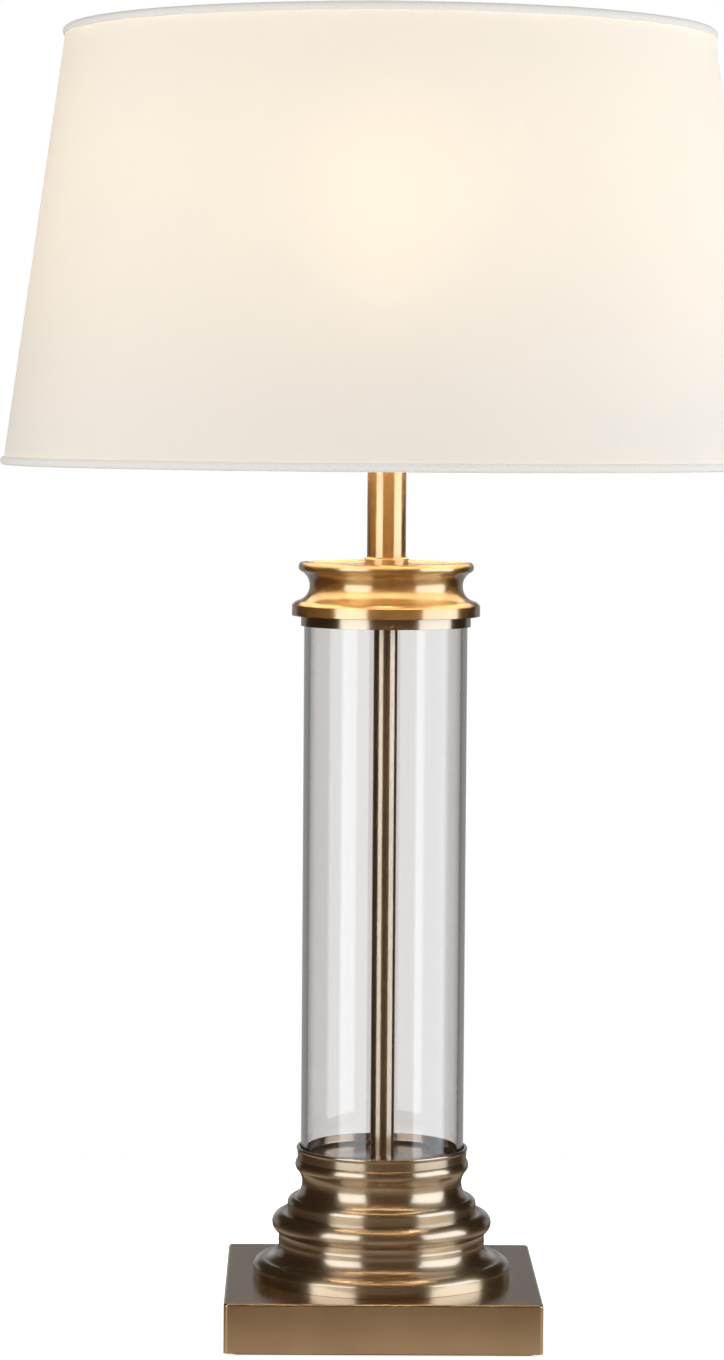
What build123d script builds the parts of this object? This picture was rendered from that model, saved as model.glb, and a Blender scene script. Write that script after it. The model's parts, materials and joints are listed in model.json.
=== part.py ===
"""Table lamp with a square plinth, a moulded brass pedestal, a glass column, a brass cap and a
tapered fabric shade on a screw lampholder. Millimetres, +Z up, origin on the table under the
lamp's axis, front towards -Y."""

from build123d import *
from math import cos, radians, sin
import os

os.makedirs("parts", exist_ok=True)

# Fits and gaps
THREAD_GAP = 0.05
SLIP_GAP = 0.2
SEAT_GAP = 0.1
RUNNING_GAP = 0.08
BODY_GAP = 0.1

# Plinth: a pressed sheet box, open below, that stands on a felt pad
PLINTH_MARGIN = 11.0
PLINTH_HEIGHT = 20.3
PLINTH_LIFT = 1.0
PLINTH_WALL = 1.2
PLINTH_CORNER = 2.0
PLINTH_EDGE = 0.9
PAD_THICKNESS = 3.0
PAD_INSET = 2.0
PAD_CORNER = 3.0
COVER_THICKNESS = 1.5
BALLAST_GAP = 1.3
BALLAST_CORNER = 6.0
POCKET_GAP = 3.0
POCKET_DEPTH = 11.0

# Cord bush in the plinth's rear wall, in a channel through the ballast
BUSH_BORE_RADIUS = 3.6
BUSH_WALL = 1.6
BUSH_FLANGE_WIDTH = 1.8
BUSH_FLANGE_THICKNESS = 1.5
BUSH_BARREL_LENGTH = 5.8
CHANNEL_GAP = 0.3

# Threaded column rod and what clamps the stack on it
ROD_RADIUS = 5.0
ROD_WALL = 1.25
ROD_TAIL = 0.3
BASE_WASHER_RADIUS = 14.0
BASE_WASHER_THICKNESS = 1.5
LOCK_WASHER_WIDTH = 2.8
LOCK_WASHER_THICKNESS = 1.0
LOCK_WASHER_TEETH = 10
BASE_NUT_WIDTH = 15.0
BASE_NUT_THICKNESS = 3.0

# Glass column and the two cups that hold it
GLASS_RADIUS = 34.0
GLASS_WALL = 2.5
GLASS_LENGTH = 226.0
CUP_WALL = 0.9
CUP_CLEARANCE = 0.5
CUP_FLOOR = 1.0
CUP_LIP_REACH = 0.4
CUP_LIP_HEIGHT = 0.9
LOWER_CUP_HEIGHT = 5.0
UPPER_CUP_HEIGHT = 7.0
SEAL_THICKNESS = 1.2
SEAL_OVERHANG = 0.7

# Pedestal neck, the upper spinning: how far each edge stands out from the cup, and each rise
SPUN_WALL = 1.5
NECK_FLANGE_REACH = 4.1
NECK_FLANGE_RISE = 4.8
NECK_SHOULDER_REACH = 0.9
NECK_SHOULDER_RISE = 2.5
NECK_SHOULDER_BULGE = 0.95
NECK_HOLLOW_DEPTH = 2.4
NECK_HOLLOW_RISE = 11.4
NECK_BEAD_BULGE = 0.95
NECK_BEAD_RISE = 4.7

# Pedestal foot, the lower spinning: how far each edge stands out from the neck's flange
FOOT_BAND_REACH = 14.5
FOOT_BAND_RISE = 4.3
FOOT_SHOULDER_REACH = 10.3
FOOT_SHOULDER_RISE = 3.0
FOOT_SHOULDER_BULGE = 0.8
FOOT_HOLLOW_DEPTH = 2.2
FOOT_HOLLOW_RISE = 6.7
FOOT_WAIST_REACH = 3.7
FOOT_WAIST_RISE = 5.9
FOOT_BEAD_BULGE = 4.1
FOOT_BEAD_RISE = 5.8
FOOT_DECK_REACH = 0.8

# Column cap, a turned casting
CAP_RECESS = 2.7
CAP_FLANGE_REACH = 3.8
CAP_FLANGE_RISE = 4.3
CAP_RIM_INSET = 3.3
CAP_RIM_RISE = 2.1
CAP_RIM_BULGE = 0.45
CAP_HOLLOW_RISE = 12.2
CAP_HOLLOW_DEPTH = 4.0
CAP_LIP_INSET = 0.4
CAP_LIP_RISE = 3.6
CAP_LIP_BULGE = 0.8
CAP_LIP_WIDTH = 3.0
CAP_DISH_DEPTH = 0.8
CAP_WALL = 5.9
CAP_ROOF = 1.8

# Stem between the cap and the lampholder
STEM_RADIUS = 8.1
STEM_WALL = 0.8
STEM_LENGTH = 52.4
COLLAR_WIDTH = 1.2
COLLAR_HEIGHT = 2.9
COLLAR_CHAMFER = 0.4
CAP_WASHER_THICKNESS = 0.8
CAP_NUT_GAP = 0.4
CAP_NUT_THICKNESS = 3.5
CAP_NUT_SLOT = 1.6

# Bulb with a large screw cap
BULB_RADIUS = 30.0
BULB_LENGTH = 106.0
BULB_CAP_RADIUS = 13.1
BULB_CAP_WALL = 0.9
BULB_CAP_LENGTH = 19.0
BULB_NECK_STEP = 0.1
BULB_NECK_LENGTH = 7.0
BULB_SHOULDER_ANGLE = 35.0
BULB_TIP_RADIUS = 4.8
BULB_TIP_HEIGHT = 1.4
BULB_INSULATOR_HEIGHT = 2.0
BULB_SEAT_GAP = 0.1
BULB_THREAD_GAP = 0.4

# Lampholder
SHELL_WALL = 0.4
SHELL_LENGTH = 22.0
SKIRT_LENGTH = 32.0
SKIRT_MOUTH_GAP = 0.7
SKIRT_MOUTH_WIDTH = 5.0
SKIRT_MOUTH_DEPTH = 3.0
HOLDER_NECK_WIDTH = 1.3
HOLDER_NECK_HEIGHT = 1.8
HOLDER_WALL = 2.0
HOLDER_FLOOR = 4.0
HOLDER_LEDGE = 1.6
HOLDER_RIM = 6.0
HOLDER_STRAIGHT = 8.0
ROD_STAND_PROUD = 2.0
GRUB_RADIUS = 1.5
SWITCH_BAR_RADIUS = 2.4
SWITCH_FLOOR_GAP = 1.2
SWITCH_HEADROOM = 2.0
SWITCH_STUB = 2.4
SWITCH_TRAVEL = 6.0
INSERT_THICKNESS = 8.0
TERMINAL_SCREW_RADIUS = 1.6
TERMINAL_SCREW_LENGTH = 7.0
CONTACT_WIDTH = 5.0
CONTACT_LENGTH = 14.0
CONTACT_THICKNESS = 0.5
CONTACT_RISE = 2.0

# Shade rings on the lampholder's thread
SHADE_RING_WIDTH = 5.4
LOWER_RING_LIFT = 6.0
LOWER_RING_THICKNESS = 3.0
CLAMP_RING_THICKNESS = 6.5
CLAMP_RING_LIP = 2.0
CLAMP_RING_GRIPS = 16
CLAMP_RING_GRIP_RADIUS = 1.0

# Shade
SHADE_DROP = 40.9
SHADE_HEIGHT = 180.0
SHADE_BOTTOM_RADIUS = 160.0
SHADE_TOP_RADIUS = 134.3
SHADE_COVER = 0.8
TRIM_HEIGHT = 4.0
TRIM_THICKNESS = 0.4
WIRE_WIDTH = 3.0
ARM_RADIUS = 1.75
ARM_COUNT = 3
ARM_START_ANGLE = 90.0
HUB_REACH = 4.0
HUB_THICKNESS = 1.5
HUB_CLEARANCE = 1.4
WELD_OVERLAP = 1.0

# Radii that follow one another from the glass out to the plinth
CUP_RADIUS = GLASS_RADIUS + CUP_CLEARANCE + CUP_WALL
NECK_FLANGE_RADIUS = CUP_RADIUS + NECK_FLANGE_REACH
FOOT_RADIUS = NECK_FLANGE_RADIUS + FOOT_BAND_REACH
PLINTH_SIDE = 2 * (FOOT_RADIUS + PLINTH_MARGIN)
BALLAST_SIDE = PLINTH_SIDE - 2 * (PLINTH_WALL + BALLAST_GAP)
ROD_HOLE_RADIUS = ROD_RADIUS + SLIP_GAP
BUSH_NECK_RADIUS = BUSH_BORE_RADIUS + BUSH_WALL
CAP_NUT_RADIUS = STEM_RADIUS - STEM_WALL - CAP_NUT_GAP
SHELL_RADIUS = BULB_CAP_RADIUS + BULB_THREAD_GAP + SHELL_WALL
SKIRT_MOUTH_RADIUS = SHELL_RADIUS + SKIRT_MOUTH_GAP
HOLDER_RADIUS = SKIRT_MOUTH_RADIUS + SKIRT_MOUTH_WIDTH
SHADE_RING_RADIUS = HOLDER_RADIUS + SHADE_RING_WIDTH
HUB_RADIUS = SHADE_RING_RADIUS + HUB_REACH

# Heights inside the lampholder, above its base
SWITCH_HEIGHT = HOLDER_FLOOR + ROD_STAND_PROUD + SWITCH_FLOOR_GAP + SWITCH_BAR_RADIUS
HOLDER_LEDGE_HEIGHT = SWITCH_HEIGHT + SWITCH_BAR_RADIUS + SWITCH_HEADROOM
HOLDER_CAP_HEIGHT = HOLDER_LEDGE_HEIGHT + HOLDER_RIM

# Levels up the lamp
PLINTH_TOP = PLINTH_LIFT + PLINTH_HEIGHT
COVER_TOP = PAD_THICKNESS + COVER_THICKNESS
BALLAST_TOP = PLINTH_TOP - PLINTH_WALL
POCKET_TOP = COVER_TOP + POCKET_DEPTH
BUSH_HEIGHT = COVER_TOP + CHANNEL_GAP + BUSH_NECK_RADIUS
WASHER_BOTTOM = POCKET_TOP - BASE_WASHER_THICKNESS
LOCK_WASHER_BOTTOM = WASHER_BOTTOM - LOCK_WASHER_THICKNESS
NUT_BOTTOM = LOCK_WASHER_BOTTOM - BASE_NUT_THICKNESS
ROD_BOTTOM = NUT_BOTTOM - ROD_TAIL
FOOT_HEIGHT = FOOT_BAND_RISE + FOOT_SHOULDER_RISE + FOOT_HOLLOW_RISE + FOOT_WAIST_RISE + FOOT_BEAD_RISE
NECK_BASE = PLINTH_TOP + FOOT_HEIGHT
NECK_HEIGHT = NECK_FLANGE_RISE + NECK_SHOULDER_RISE + NECK_HOLLOW_RISE + NECK_BEAD_RISE
CUP_BASE = NECK_BASE + NECK_HEIGHT
GLASS_BOTTOM = CUP_BASE + CUP_FLOOR + SEAL_THICKNESS
GLASS_TOP = GLASS_BOTTOM + GLASS_LENGTH
UPPER_CUP_TOP = GLASS_TOP + SEAL_THICKNESS + CUP_FLOOR
CAP_BASE = UPPER_CUP_TOP - CAP_RECESS
CAP_HEIGHT = CAP_FLANGE_RISE + CAP_RIM_RISE + CAP_HOLLOW_RISE + CAP_LIP_RISE
DISH_FLOOR = CAP_BASE + CAP_HEIGHT - CAP_DISH_DEPTH
HOLDER_BASE = DISH_FLOOR + STEM_LENGTH
ROD_TOP = HOLDER_BASE + HOLDER_FLOOR + ROD_STAND_PROUD
INSERT_BOTTOM = HOLDER_BASE + HOLDER_LEDGE_HEIGHT
INSERT_TOP = INSERT_BOTTOM + INSERT_THICKNESS
SKIRT_BOTTOM = HOLDER_BASE + HOLDER_CAP_HEIGHT
SKIRT_TOP = SKIRT_BOTTOM + SKIRT_LENGTH
LOWER_RING_BOTTOM = SKIRT_BOTTOM + LOWER_RING_LIFT
HUB_BOTTOM = LOWER_RING_BOTTOM + LOWER_RING_THICKNESS
HUB_TOP = HUB_BOTTOM + HUB_THICKNESS
CLAMP_RING_BOTTOM = HUB_TOP + BODY_GAP
BULB_BOTTOM = INSERT_TOP + CONTACT_THICKNESS + CONTACT_RISE + BULB_SEAT_GAP
BULB_CAP_BOTTOM = BULB_BOTTOM + BULB_TIP_HEIGHT + BULB_INSULATOR_HEIGHT
BULB_CAP_TOP = BULB_CAP_BOTTOM + BULB_CAP_LENGTH
SHADE_BOTTOM = HUB_BOTTOM - SHADE_DROP
SHADE_TOP = SHADE_BOTTOM + SHADE_HEIGHT
SHADE_SLOPE = (SHADE_TOP_RADIUS - SHADE_BOTTOM_RADIUS) / SHADE_HEIGHT


def turned(*edges):
    """Solid turned about the lamp's axis from a closed outline of radius and height."""
    return revolve(Plane.XZ * make_face(edges), Axis.Z)


def ring(outer, inner, bottom, top):
    """Plain turned ring between two radii and two heights."""
    outline = Polyline((inner, bottom), (outer, bottom), (outer, top), (inner, top), close=True)
    return turned(*outline.edges())


def disc(radius, bottom, top):
    """Plain solid disc or bar about the lamp's axis."""
    return Pos(0, 0, bottom) * extrude(Circle(radius), top - bottom)


def slab(side, corner, bottom, top):
    """Square slab with rounded upright corners, centred on the lamp's axis."""
    return Pos(0, 0, bottom) * extrude(RectangleRounded(side, side, corner), top - bottom)


def across(radius, start, end, height):
    """Round bar along X at a height, for cross holes, screws and the switch bar."""
    return Pos(start, 0, height) * Rot(0, 90, 0) * extrude(Circle(radius), end - start)


def save(name, shape):
    """Write one node's solids to its STEP file."""
    export_step(shape, f"parts/{name}.step")


def plinth():
    """Sheet box with soft upper edges, a rod hole on top and the cord bush's hole behind."""
    box = slab(PLINTH_SIDE, PLINTH_CORNER, PLINTH_LIFT, PLINTH_TOP)
    box = fillet(box.faces().sort_by(Axis.Z)[-1].edges(), PLINTH_EDGE)
    inside = PLINTH_SIDE - 2 * PLINTH_WALL
    box -= slab(inside, PLINTH_CORNER - PLINTH_WALL, PLINTH_LIFT, PLINTH_TOP - PLINTH_WALL)
    box -= disc(ROD_HOLE_RADIUS, PLINTH_LIFT, PLINTH_TOP)
    return box - rearward(BUSH_NECK_RADIUS + THREAD_GAP, 0, PLINTH_SIDE)


def rearward(radius, start, end):
    """Round bar along Y at the cord bush's height."""
    return Pos(0, start, BUSH_HEIGHT) * Rot(-90, 0, 0) * extrude(Circle(radius), end - start)


def base_pad():
    """Felt pad that the lamp stands on."""
    side = PLINTH_SIDE - 2 * (PLINTH_WALL + PAD_INSET)
    return slab(side, PAD_CORNER, 0, PAD_THICKNESS)


def cover_plate():
    """Steel plate that closes the plinth above the pad."""
    side = PLINTH_SIDE - 2 * (PLINTH_WALL + SLIP_GAP)
    return slab(side, PLINTH_CORNER, PAD_THICKNESS, COVER_TOP)


def ballast_weight():
    """Cast slab that fills the plinth, with a nut pocket and a channel for the cord."""
    weight = slab(BALLAST_SIDE, BALLAST_CORNER, COVER_TOP, BALLAST_TOP)
    weight -= disc(BASE_WASHER_RADIUS + POCKET_GAP, COVER_TOP, POCKET_TOP)
    weight -= disc(ROD_HOLE_RADIUS, COVER_TOP, BALLAST_TOP)
    half_width = BUSH_NECK_RADIUS + CHANNEL_GAP
    channel = Rectangle(2 * half_width, BALLAST_SIDE / 2)
    depth = BUSH_HEIGHT + half_width - COVER_TOP
    return weight - Pos(0, BALLAST_SIDE / 4, COVER_TOP) * extrude(channel, depth)


def cord_bush():
    """Flanged bush that guides the cord through the plinth's rear wall."""
    wall = PLINTH_SIDE / 2
    bush = rearward(BUSH_NECK_RADIUS, wall - PLINTH_WALL - BUSH_BARREL_LENGTH, wall)
    bush += rearward(BUSH_NECK_RADIUS + BUSH_FLANGE_WIDTH, wall, wall + BUSH_FLANGE_THICKNESS)
    return bush - rearward(BUSH_BORE_RADIUS, 0, wall + BUSH_FLANGE_THICKNESS)


def base_nut():
    """Hexagon nut that pulls the whole stack together from below."""
    hexagon = RegularPolygon(BASE_NUT_WIDTH / 2, 6, major_radius=False)
    nut = Pos(0, 0, NUT_BOTTOM) * extrude(hexagon, BASE_NUT_THICKNESS)
    return nut - disc(ROD_RADIUS + THREAD_GAP, NUT_BOTTOM, LOCK_WASHER_BOTTOM)


def lock_washer():
    """Washer with cut teeth round its rim under the base nut."""
    rim = ROD_HOLE_RADIUS + LOCK_WASHER_WIDTH
    washer = ring(rim, ROD_HOLE_RADIUS, LOCK_WASHER_BOTTOM, WASHER_BOTTOM)
    notch = Rectangle(LOCK_WASHER_WIDTH, LOCK_WASHER_WIDTH / 2)
    notch = Pos(rim, 0, LOCK_WASHER_BOTTOM) * extrude(notch, LOCK_WASHER_THICKNESS)
    return washer - [Rot(0, 0, 360 * i / LOCK_WASHER_TEETH) * notch for i in range(LOCK_WASHER_TEETH)]


def pedestal_foot():
    """Lower spinning: straight band, soft shoulder, hollow, waist and round bead."""
    shoulder_end = (NECK_FLANGE_RADIUS + FOOT_SHOULDER_REACH, FOOT_BAND_RISE + FOOT_SHOULDER_RISE)
    waist_radius = NECK_FLANGE_RADIUS + FOOT_WAIST_REACH
    waist_height = shoulder_end[1] + FOOT_HOLLOW_RISE
    band = Line((FOOT_RADIUS, 0), (FOOT_RADIUS, FOOT_BAND_RISE))
    shoulder = SagittaArc(band @ 1, shoulder_end, -FOOT_SHOULDER_BULGE)
    hollow = SagittaArc(shoulder @ 1, (waist_radius, waist_height), FOOT_HOLLOW_DEPTH)
    waist = Line(hollow @ 1, (waist_radius, waist_height + FOOT_WAIST_RISE))
    deck_edge = (NECK_FLANGE_RADIUS + FOOT_DECK_REACH, FOOT_HEIGHT)
    bead = SagittaArc(waist @ 1, deck_edge, -FOOT_BEAD_BULGE)
    core = waist_radius - SPUN_WALL
    inner = Polyline(
        bead @ 1,
        (ROD_HOLE_RADIUS, FOOT_HEIGHT),
        (ROD_HOLE_RADIUS, FOOT_HEIGHT - SPUN_WALL),
        (core, FOOT_HEIGHT - SPUN_WALL),
        (core, waist_height - FOOT_HOLLOW_DEPTH - SPUN_WALL),
        (FOOT_RADIUS - SPUN_WALL, 0),
        band @ 0,
    )
    return Pos(0, 0, PLINTH_TOP) * turned(band, shoulder, hollow, waist, bead, *inner.edges())


def pedestal_neck():
    """Upper spinning: flange, shoulder, hollow and bead under the glass cup."""
    shoulder_radius = CUP_RADIUS + NECK_SHOULDER_REACH
    shoulder_height = NECK_FLANGE_RISE + NECK_SHOULDER_RISE
    hollow_height = shoulder_height + NECK_HOLLOW_RISE
    flange = Line((NECK_FLANGE_RADIUS, 0), (NECK_FLANGE_RADIUS, NECK_FLANGE_RISE))
    shoulder = SagittaArc(flange @ 1, (shoulder_radius, shoulder_height), -NECK_SHOULDER_BULGE)
    hollow = SagittaArc(shoulder @ 1, (CUP_RADIUS, hollow_height), NECK_HOLLOW_DEPTH)
    bead = SagittaArc(hollow @ 1, (CUP_RADIUS, NECK_HEIGHT), -NECK_BEAD_BULGE)
    core = CUP_RADIUS - NECK_HOLLOW_DEPTH - SPUN_WALL
    inner = Polyline(
        bead @ 1,
        (ROD_HOLE_RADIUS, NECK_HEIGHT),
        (ROD_HOLE_RADIUS, NECK_HEIGHT - SPUN_WALL),
        (core, NECK_HEIGHT - SPUN_WALL),
        (core, shoulder_height),
        (NECK_FLANGE_RADIUS - SPUN_WALL, NECK_FLANGE_RISE - SPUN_WALL),
        (NECK_FLANGE_RADIUS - SPUN_WALL, 0),
        flange @ 0,
    )
    return Pos(0, 0, NECK_BASE) * turned(flange, shoulder, hollow, bead, *inner.edges())


def glass_cup(height, lip):
    """Pressed cup, open above, with a rod hole in its floor and its rim turned out by lip."""
    inner = CUP_RADIUS - CUP_WALL
    outline = Polyline(
        (ROD_HOLE_RADIUS, 0),
        (CUP_RADIUS, 0),
        (CUP_RADIUS, height - 2 * CUP_LIP_HEIGHT),
        (CUP_RADIUS + lip, height - CUP_LIP_HEIGHT),
        (CUP_RADIUS + lip, height),
        (inner, height),
        (inner, CUP_FLOOR),
        (ROD_HOLE_RADIUS, CUP_FLOOR),
        close=True,
    )
    return turned(*outline.edges())


def upper_cup():
    """The same cup turned over, with a plain rim, recessed into the cap."""
    return Pos(0, 0, UPPER_CUP_TOP) * Rot(180, 0, 0) * glass_cup(UPPER_CUP_HEIGHT, 0)


def glass_seal(bottom):
    """Flat rubber ring between an end of the glass and its cup."""
    inner = GLASS_RADIUS - GLASS_WALL - SEAL_OVERHANG
    outer = CUP_RADIUS - CUP_WALL - SEAT_GAP
    return ring(outer, inner, bottom, bottom + SEAL_THICKNESS)


def column_cap():
    """Turned cap: flange, hollow, rolled lip and shallow dish, cored out from below."""
    flange_radius = CUP_RADIUS + CAP_FLANGE_REACH
    hollow_radius = flange_radius - CAP_RIM_INSET
    hollow_base = CAP_FLANGE_RISE + CAP_RIM_RISE
    lip_radius = hollow_radius - CAP_LIP_INSET
    flange = Line((flange_radius, 0), (flange_radius, CAP_FLANGE_RISE))
    rim = SagittaArc(flange @ 1, (hollow_radius, hollow_base), -CAP_RIM_BULGE)
    hollow = SagittaArc(rim @ 1, (hollow_radius, hollow_base + CAP_HOLLOW_RISE), CAP_HOLLOW_DEPTH)
    lip = SagittaArc(hollow @ 1, (lip_radius, CAP_HEIGHT), -CAP_LIP_BULGE)
    floor = CAP_HEIGHT - CAP_DISH_DEPTH
    roof = floor - CAP_ROOF
    core = hollow_radius - CAP_HOLLOW_DEPTH - CAP_WALL
    seat = CUP_RADIUS + SEAT_GAP
    inner = Polyline(
        lip @ 1,
        (lip_radius - CAP_LIP_WIDTH, floor),
        (ROD_HOLE_RADIUS, floor),
        (ROD_HOLE_RADIUS, roof),
        (core, roof),
        (core, CAP_RECESS),
        (seat, CAP_RECESS),
        (seat, 0),
        flange @ 0,
    )
    return Pos(0, 0, CAP_BASE) * turned(flange, rim, hollow, lip, *inner.edges())


def cap_nut():
    """Round nut with two driver slots, hidden inside the stem."""
    bottom = DISH_FLOOR + CAP_WASHER_THICKNESS
    top = bottom + CAP_NUT_THICKNESS
    nut = ring(CAP_NUT_RADIUS, ROD_RADIUS + THREAD_GAP, bottom, top)
    slot = Rectangle(2 * CAP_NUT_RADIUS, CAP_NUT_SLOT)
    return nut - Pos(0, 0, top - CAP_NUT_SLOT) * extrude(slot, CAP_NUT_SLOT)


def stem_collar():
    """Small ring round the foot of the stem, chamfered on top."""
    top = DISH_FLOOR + COLLAR_HEIGHT
    inner = STEM_RADIUS + THREAD_GAP
    outer = STEM_RADIUS + COLLAR_WIDTH
    outline = Polyline(
        (inner, DISH_FLOOR),
        (outer, DISH_FLOOR),
        (outer, top - COLLAR_CHAMFER),
        (outer - COLLAR_CHAMFER, top),
        (inner, top),
        close=True,
    )
    return turned(*outline.edges())


def holder_neck_radius():
    """Outer radius of the lampholder's neck, a little wider than the stem."""
    return STEM_RADIUS + HOLDER_NECK_WIDTH


def holder_cap():
    """Coned lower shell of the lampholder, screwed on the rod, with the switch bar's holes."""
    bore = HOLDER_RADIUS - HOLDER_WALL
    cavity = bore - HOLDER_LEDGE
    thread = ROD_RADIUS + THREAD_GAP
    outline = Polyline(
        (holder_neck_radius(), 0),
        (holder_neck_radius(), HOLDER_NECK_HEIGHT),
        (HOLDER_RADIUS, HOLDER_CAP_HEIGHT - HOLDER_STRAIGHT),
        (HOLDER_RADIUS, HOLDER_CAP_HEIGHT),
        (bore, HOLDER_CAP_HEIGHT),
        (bore, HOLDER_LEDGE_HEIGHT),
        (cavity, HOLDER_LEDGE_HEIGHT),
        (cavity, SWITCH_HEIGHT),
        ((holder_neck_radius() + cavity) / 2, HOLDER_FLOOR),
        (thread, HOLDER_FLOOR),
        (thread, 0),
        close=True,
    )
    shell = Pos(0, 0, HOLDER_BASE) * turned(*outline.edges())
    shell -= switch_bore()
    return shell - across(GRUB_RADIUS + THREAD_GAP, 0, HOLDER_RADIUS, grub_height())


def grub_height():
    """Height of the grub screw, in the middle of the lampholder's floor."""
    return HOLDER_BASE + HOLDER_FLOOR / 2


def switch_bore():
    """Cross hole that the switch bar slides in."""
    radius = SWITCH_BAR_RADIUS + RUNNING_GAP
    return across(radius, -HOLDER_RADIUS, HOLDER_RADIUS, HOLDER_BASE + SWITCH_HEIGHT)


def switch_bar():
    """Push-through bar with chamfered ends, pushed fully towards +X."""
    stub = HOLDER_RADIUS + SWITCH_STUB
    bar = across(SWITCH_BAR_RADIUS, -stub, stub + SWITCH_TRAVEL, HOLDER_BASE + SWITCH_HEIGHT)
    return chamfer(bar.edges().filter_by(GeomType.CIRCLE), SWITCH_BAR_RADIUS / 3)


def grub_screw():
    """Set screw that locks the lampholder on the rod."""
    return across(GRUB_RADIUS, ROD_RADIUS + THREAD_GAP, holder_neck_radius(), grub_height())


def insert_radius():
    """Outer radius of the insulating insert in the lampholder."""
    return HOLDER_RADIUS - HOLDER_WALL - SLIP_GAP


def terminal_sides():
    """Start and end along X of the two terminal screws."""
    end = insert_radius()
    start = end - TERMINAL_SCREW_LENGTH
    return [(start, end), (-end, -start)]


def holder_insert():
    """Insulating block that carries the contacts, drilled for its terminal screws."""
    block = disc(insert_radius(), INSERT_BOTTOM, INSERT_TOP)
    level = (INSERT_BOTTOM + INSERT_TOP) / 2
    for start, end in terminal_sides():
        block -= across(TERMINAL_SCREW_RADIUS + THREAD_GAP, start, end, level)
    return block


def terminal_screws():
    """Two screws that clamp the wires, one each side of the insert."""
    level = (INSERT_BOTTOM + INSERT_TOP) / 2
    return Compound([across(TERMINAL_SCREW_RADIUS, start, end, level) for start, end in terminal_sides()])


def centre_contact():
    """Bent brass strip under the bulb's tip."""
    half = CONTACT_LENGTH / 2
    low = INSERT_TOP + CONTACT_THICKNESS
    high = low + CONTACT_RISE
    outline = Polyline(
        (-half, INSERT_TOP),
        (-half / 3, INSERT_TOP),
        (half / 3, high - CONTACT_THICKNESS),
        (half, high - CONTACT_THICKNESS),
        (half, high),
        (half / 3, high),
        (-half / 3, low),
        (-half, low),
        close=True,
    )
    strip = Plane.XZ * make_face(outline.edges())
    return extrude(strip, CONTACT_WIDTH / 2, both=True)


def holder_skirt():
    """Upper shell of the lampholder, a threaded tube with an inward rim at its mouth."""
    tube = ring(HOLDER_RADIUS, HOLDER_RADIUS - HOLDER_WALL, SKIRT_BOTTOM, SKIRT_TOP)
    rim = ring(HOLDER_RADIUS, SKIRT_MOUTH_RADIUS, SKIRT_TOP - SKIRT_MOUTH_DEPTH, SKIRT_TOP)
    return tube + rim


def lower_shade_ring():
    """Flange on the lampholder's thread that the shade's hub rests on."""
    return ring(SHADE_RING_RADIUS, HOLDER_RADIUS + THREAD_GAP, LOWER_RING_BOTTOM, HUB_BOTTOM)


def shade_clamp_ring():
    """Grooved ring that screws down on the shade's hub."""
    lip_top = CLAMP_RING_BOTTOM + CLAMP_RING_LIP
    top = CLAMP_RING_BOTTOM + CLAMP_RING_THICKNESS
    inner = HOLDER_RADIUS + RUNNING_GAP
    body = SHADE_RING_RADIUS - CLAMP_RING_GRIP_RADIUS
    clamp = ring(SHADE_RING_RADIUS, inner, CLAMP_RING_BOTTOM, lip_top) + ring(body, inner, lip_top, top)
    groove = Pos(body, 0, lip_top) * extrude(Circle(CLAMP_RING_GRIP_RADIUS), top - lip_top)
    return clamp - [Rot(0, 0, 360 * i / CLAMP_RING_GRIPS) * groove for i in range(CLAMP_RING_GRIPS)]


def cover_radius(height):
    """Outer radius of the shade's cover at a height, inside the trims."""
    return SHADE_BOTTOM_RADIUS - TRIM_THICKNESS + SHADE_SLOPE * (height - SHADE_BOTTOM)


def shade_cover():
    """Tapered drum of stiffened fabric between the two trims' folds."""
    low = SHADE_BOTTOM + TRIM_THICKNESS + THREAD_GAP
    high = SHADE_TOP - TRIM_THICKNESS - THREAD_GAP
    outline = Polyline(
        (cover_radius(low) - SHADE_COVER, low),
        (cover_radius(low), low),
        (cover_radius(high), high),
        (cover_radius(high) - SHADE_COVER, high),
        close=True,
    )
    return turned(*outline.edges())


def wire_centre(edge, inward):
    """Radius and height of a wire ring's centre; inward is 1 at the bottom edge, -1 at the top."""
    half = WIRE_WIDTH / 2
    height = edge + inward * (TRIM_THICKNESS + 2 * THREAD_GAP + half)
    return cover_radius(height + half) - SHADE_COVER - 2 * THREAD_GAP - half, height


def wire_ring(edge, inward):
    """Square steel wire ring inside an edge of the shade."""
    radius, height = wire_centre(edge, inward)
    half = WIRE_WIDTH / 2
    return ring(radius + half, radius - half, height - half, height + half)


def shade_trim(edge, inward):
    """Fabric tape folded over an edge of the cover and its wire ring."""
    radius, height = wire_centre(edge, inward)
    far = edge + inward * TRIM_HEIGHT
    fold = edge + inward * TRIM_THICKNESS
    inside = radius - WIRE_WIDTH / 2 - THREAD_GAP
    back = height + inward * WIRE_WIDTH / 2
    skin = THREAD_GAP
    outline = Polyline(
        (cover_radius(edge) + TRIM_THICKNESS, edge),
        (cover_radius(far) + TRIM_THICKNESS, far),
        (cover_radius(far) + skin, far),
        (cover_radius(fold) + skin, fold),
        (inside, fold),
        (inside, back),
        (inside - TRIM_THICKNESS, back),
        (inside - TRIM_THICKNESS, edge),
        close=True,
    )
    return turned(*outline.edges())


def fitter_hub():
    """Flat ring of the shade's fitter that drops over the lampholder."""
    return ring(HUB_RADIUS, HOLDER_RADIUS + HUB_CLEARANCE, HUB_BOTTOM, HUB_TOP)


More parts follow.
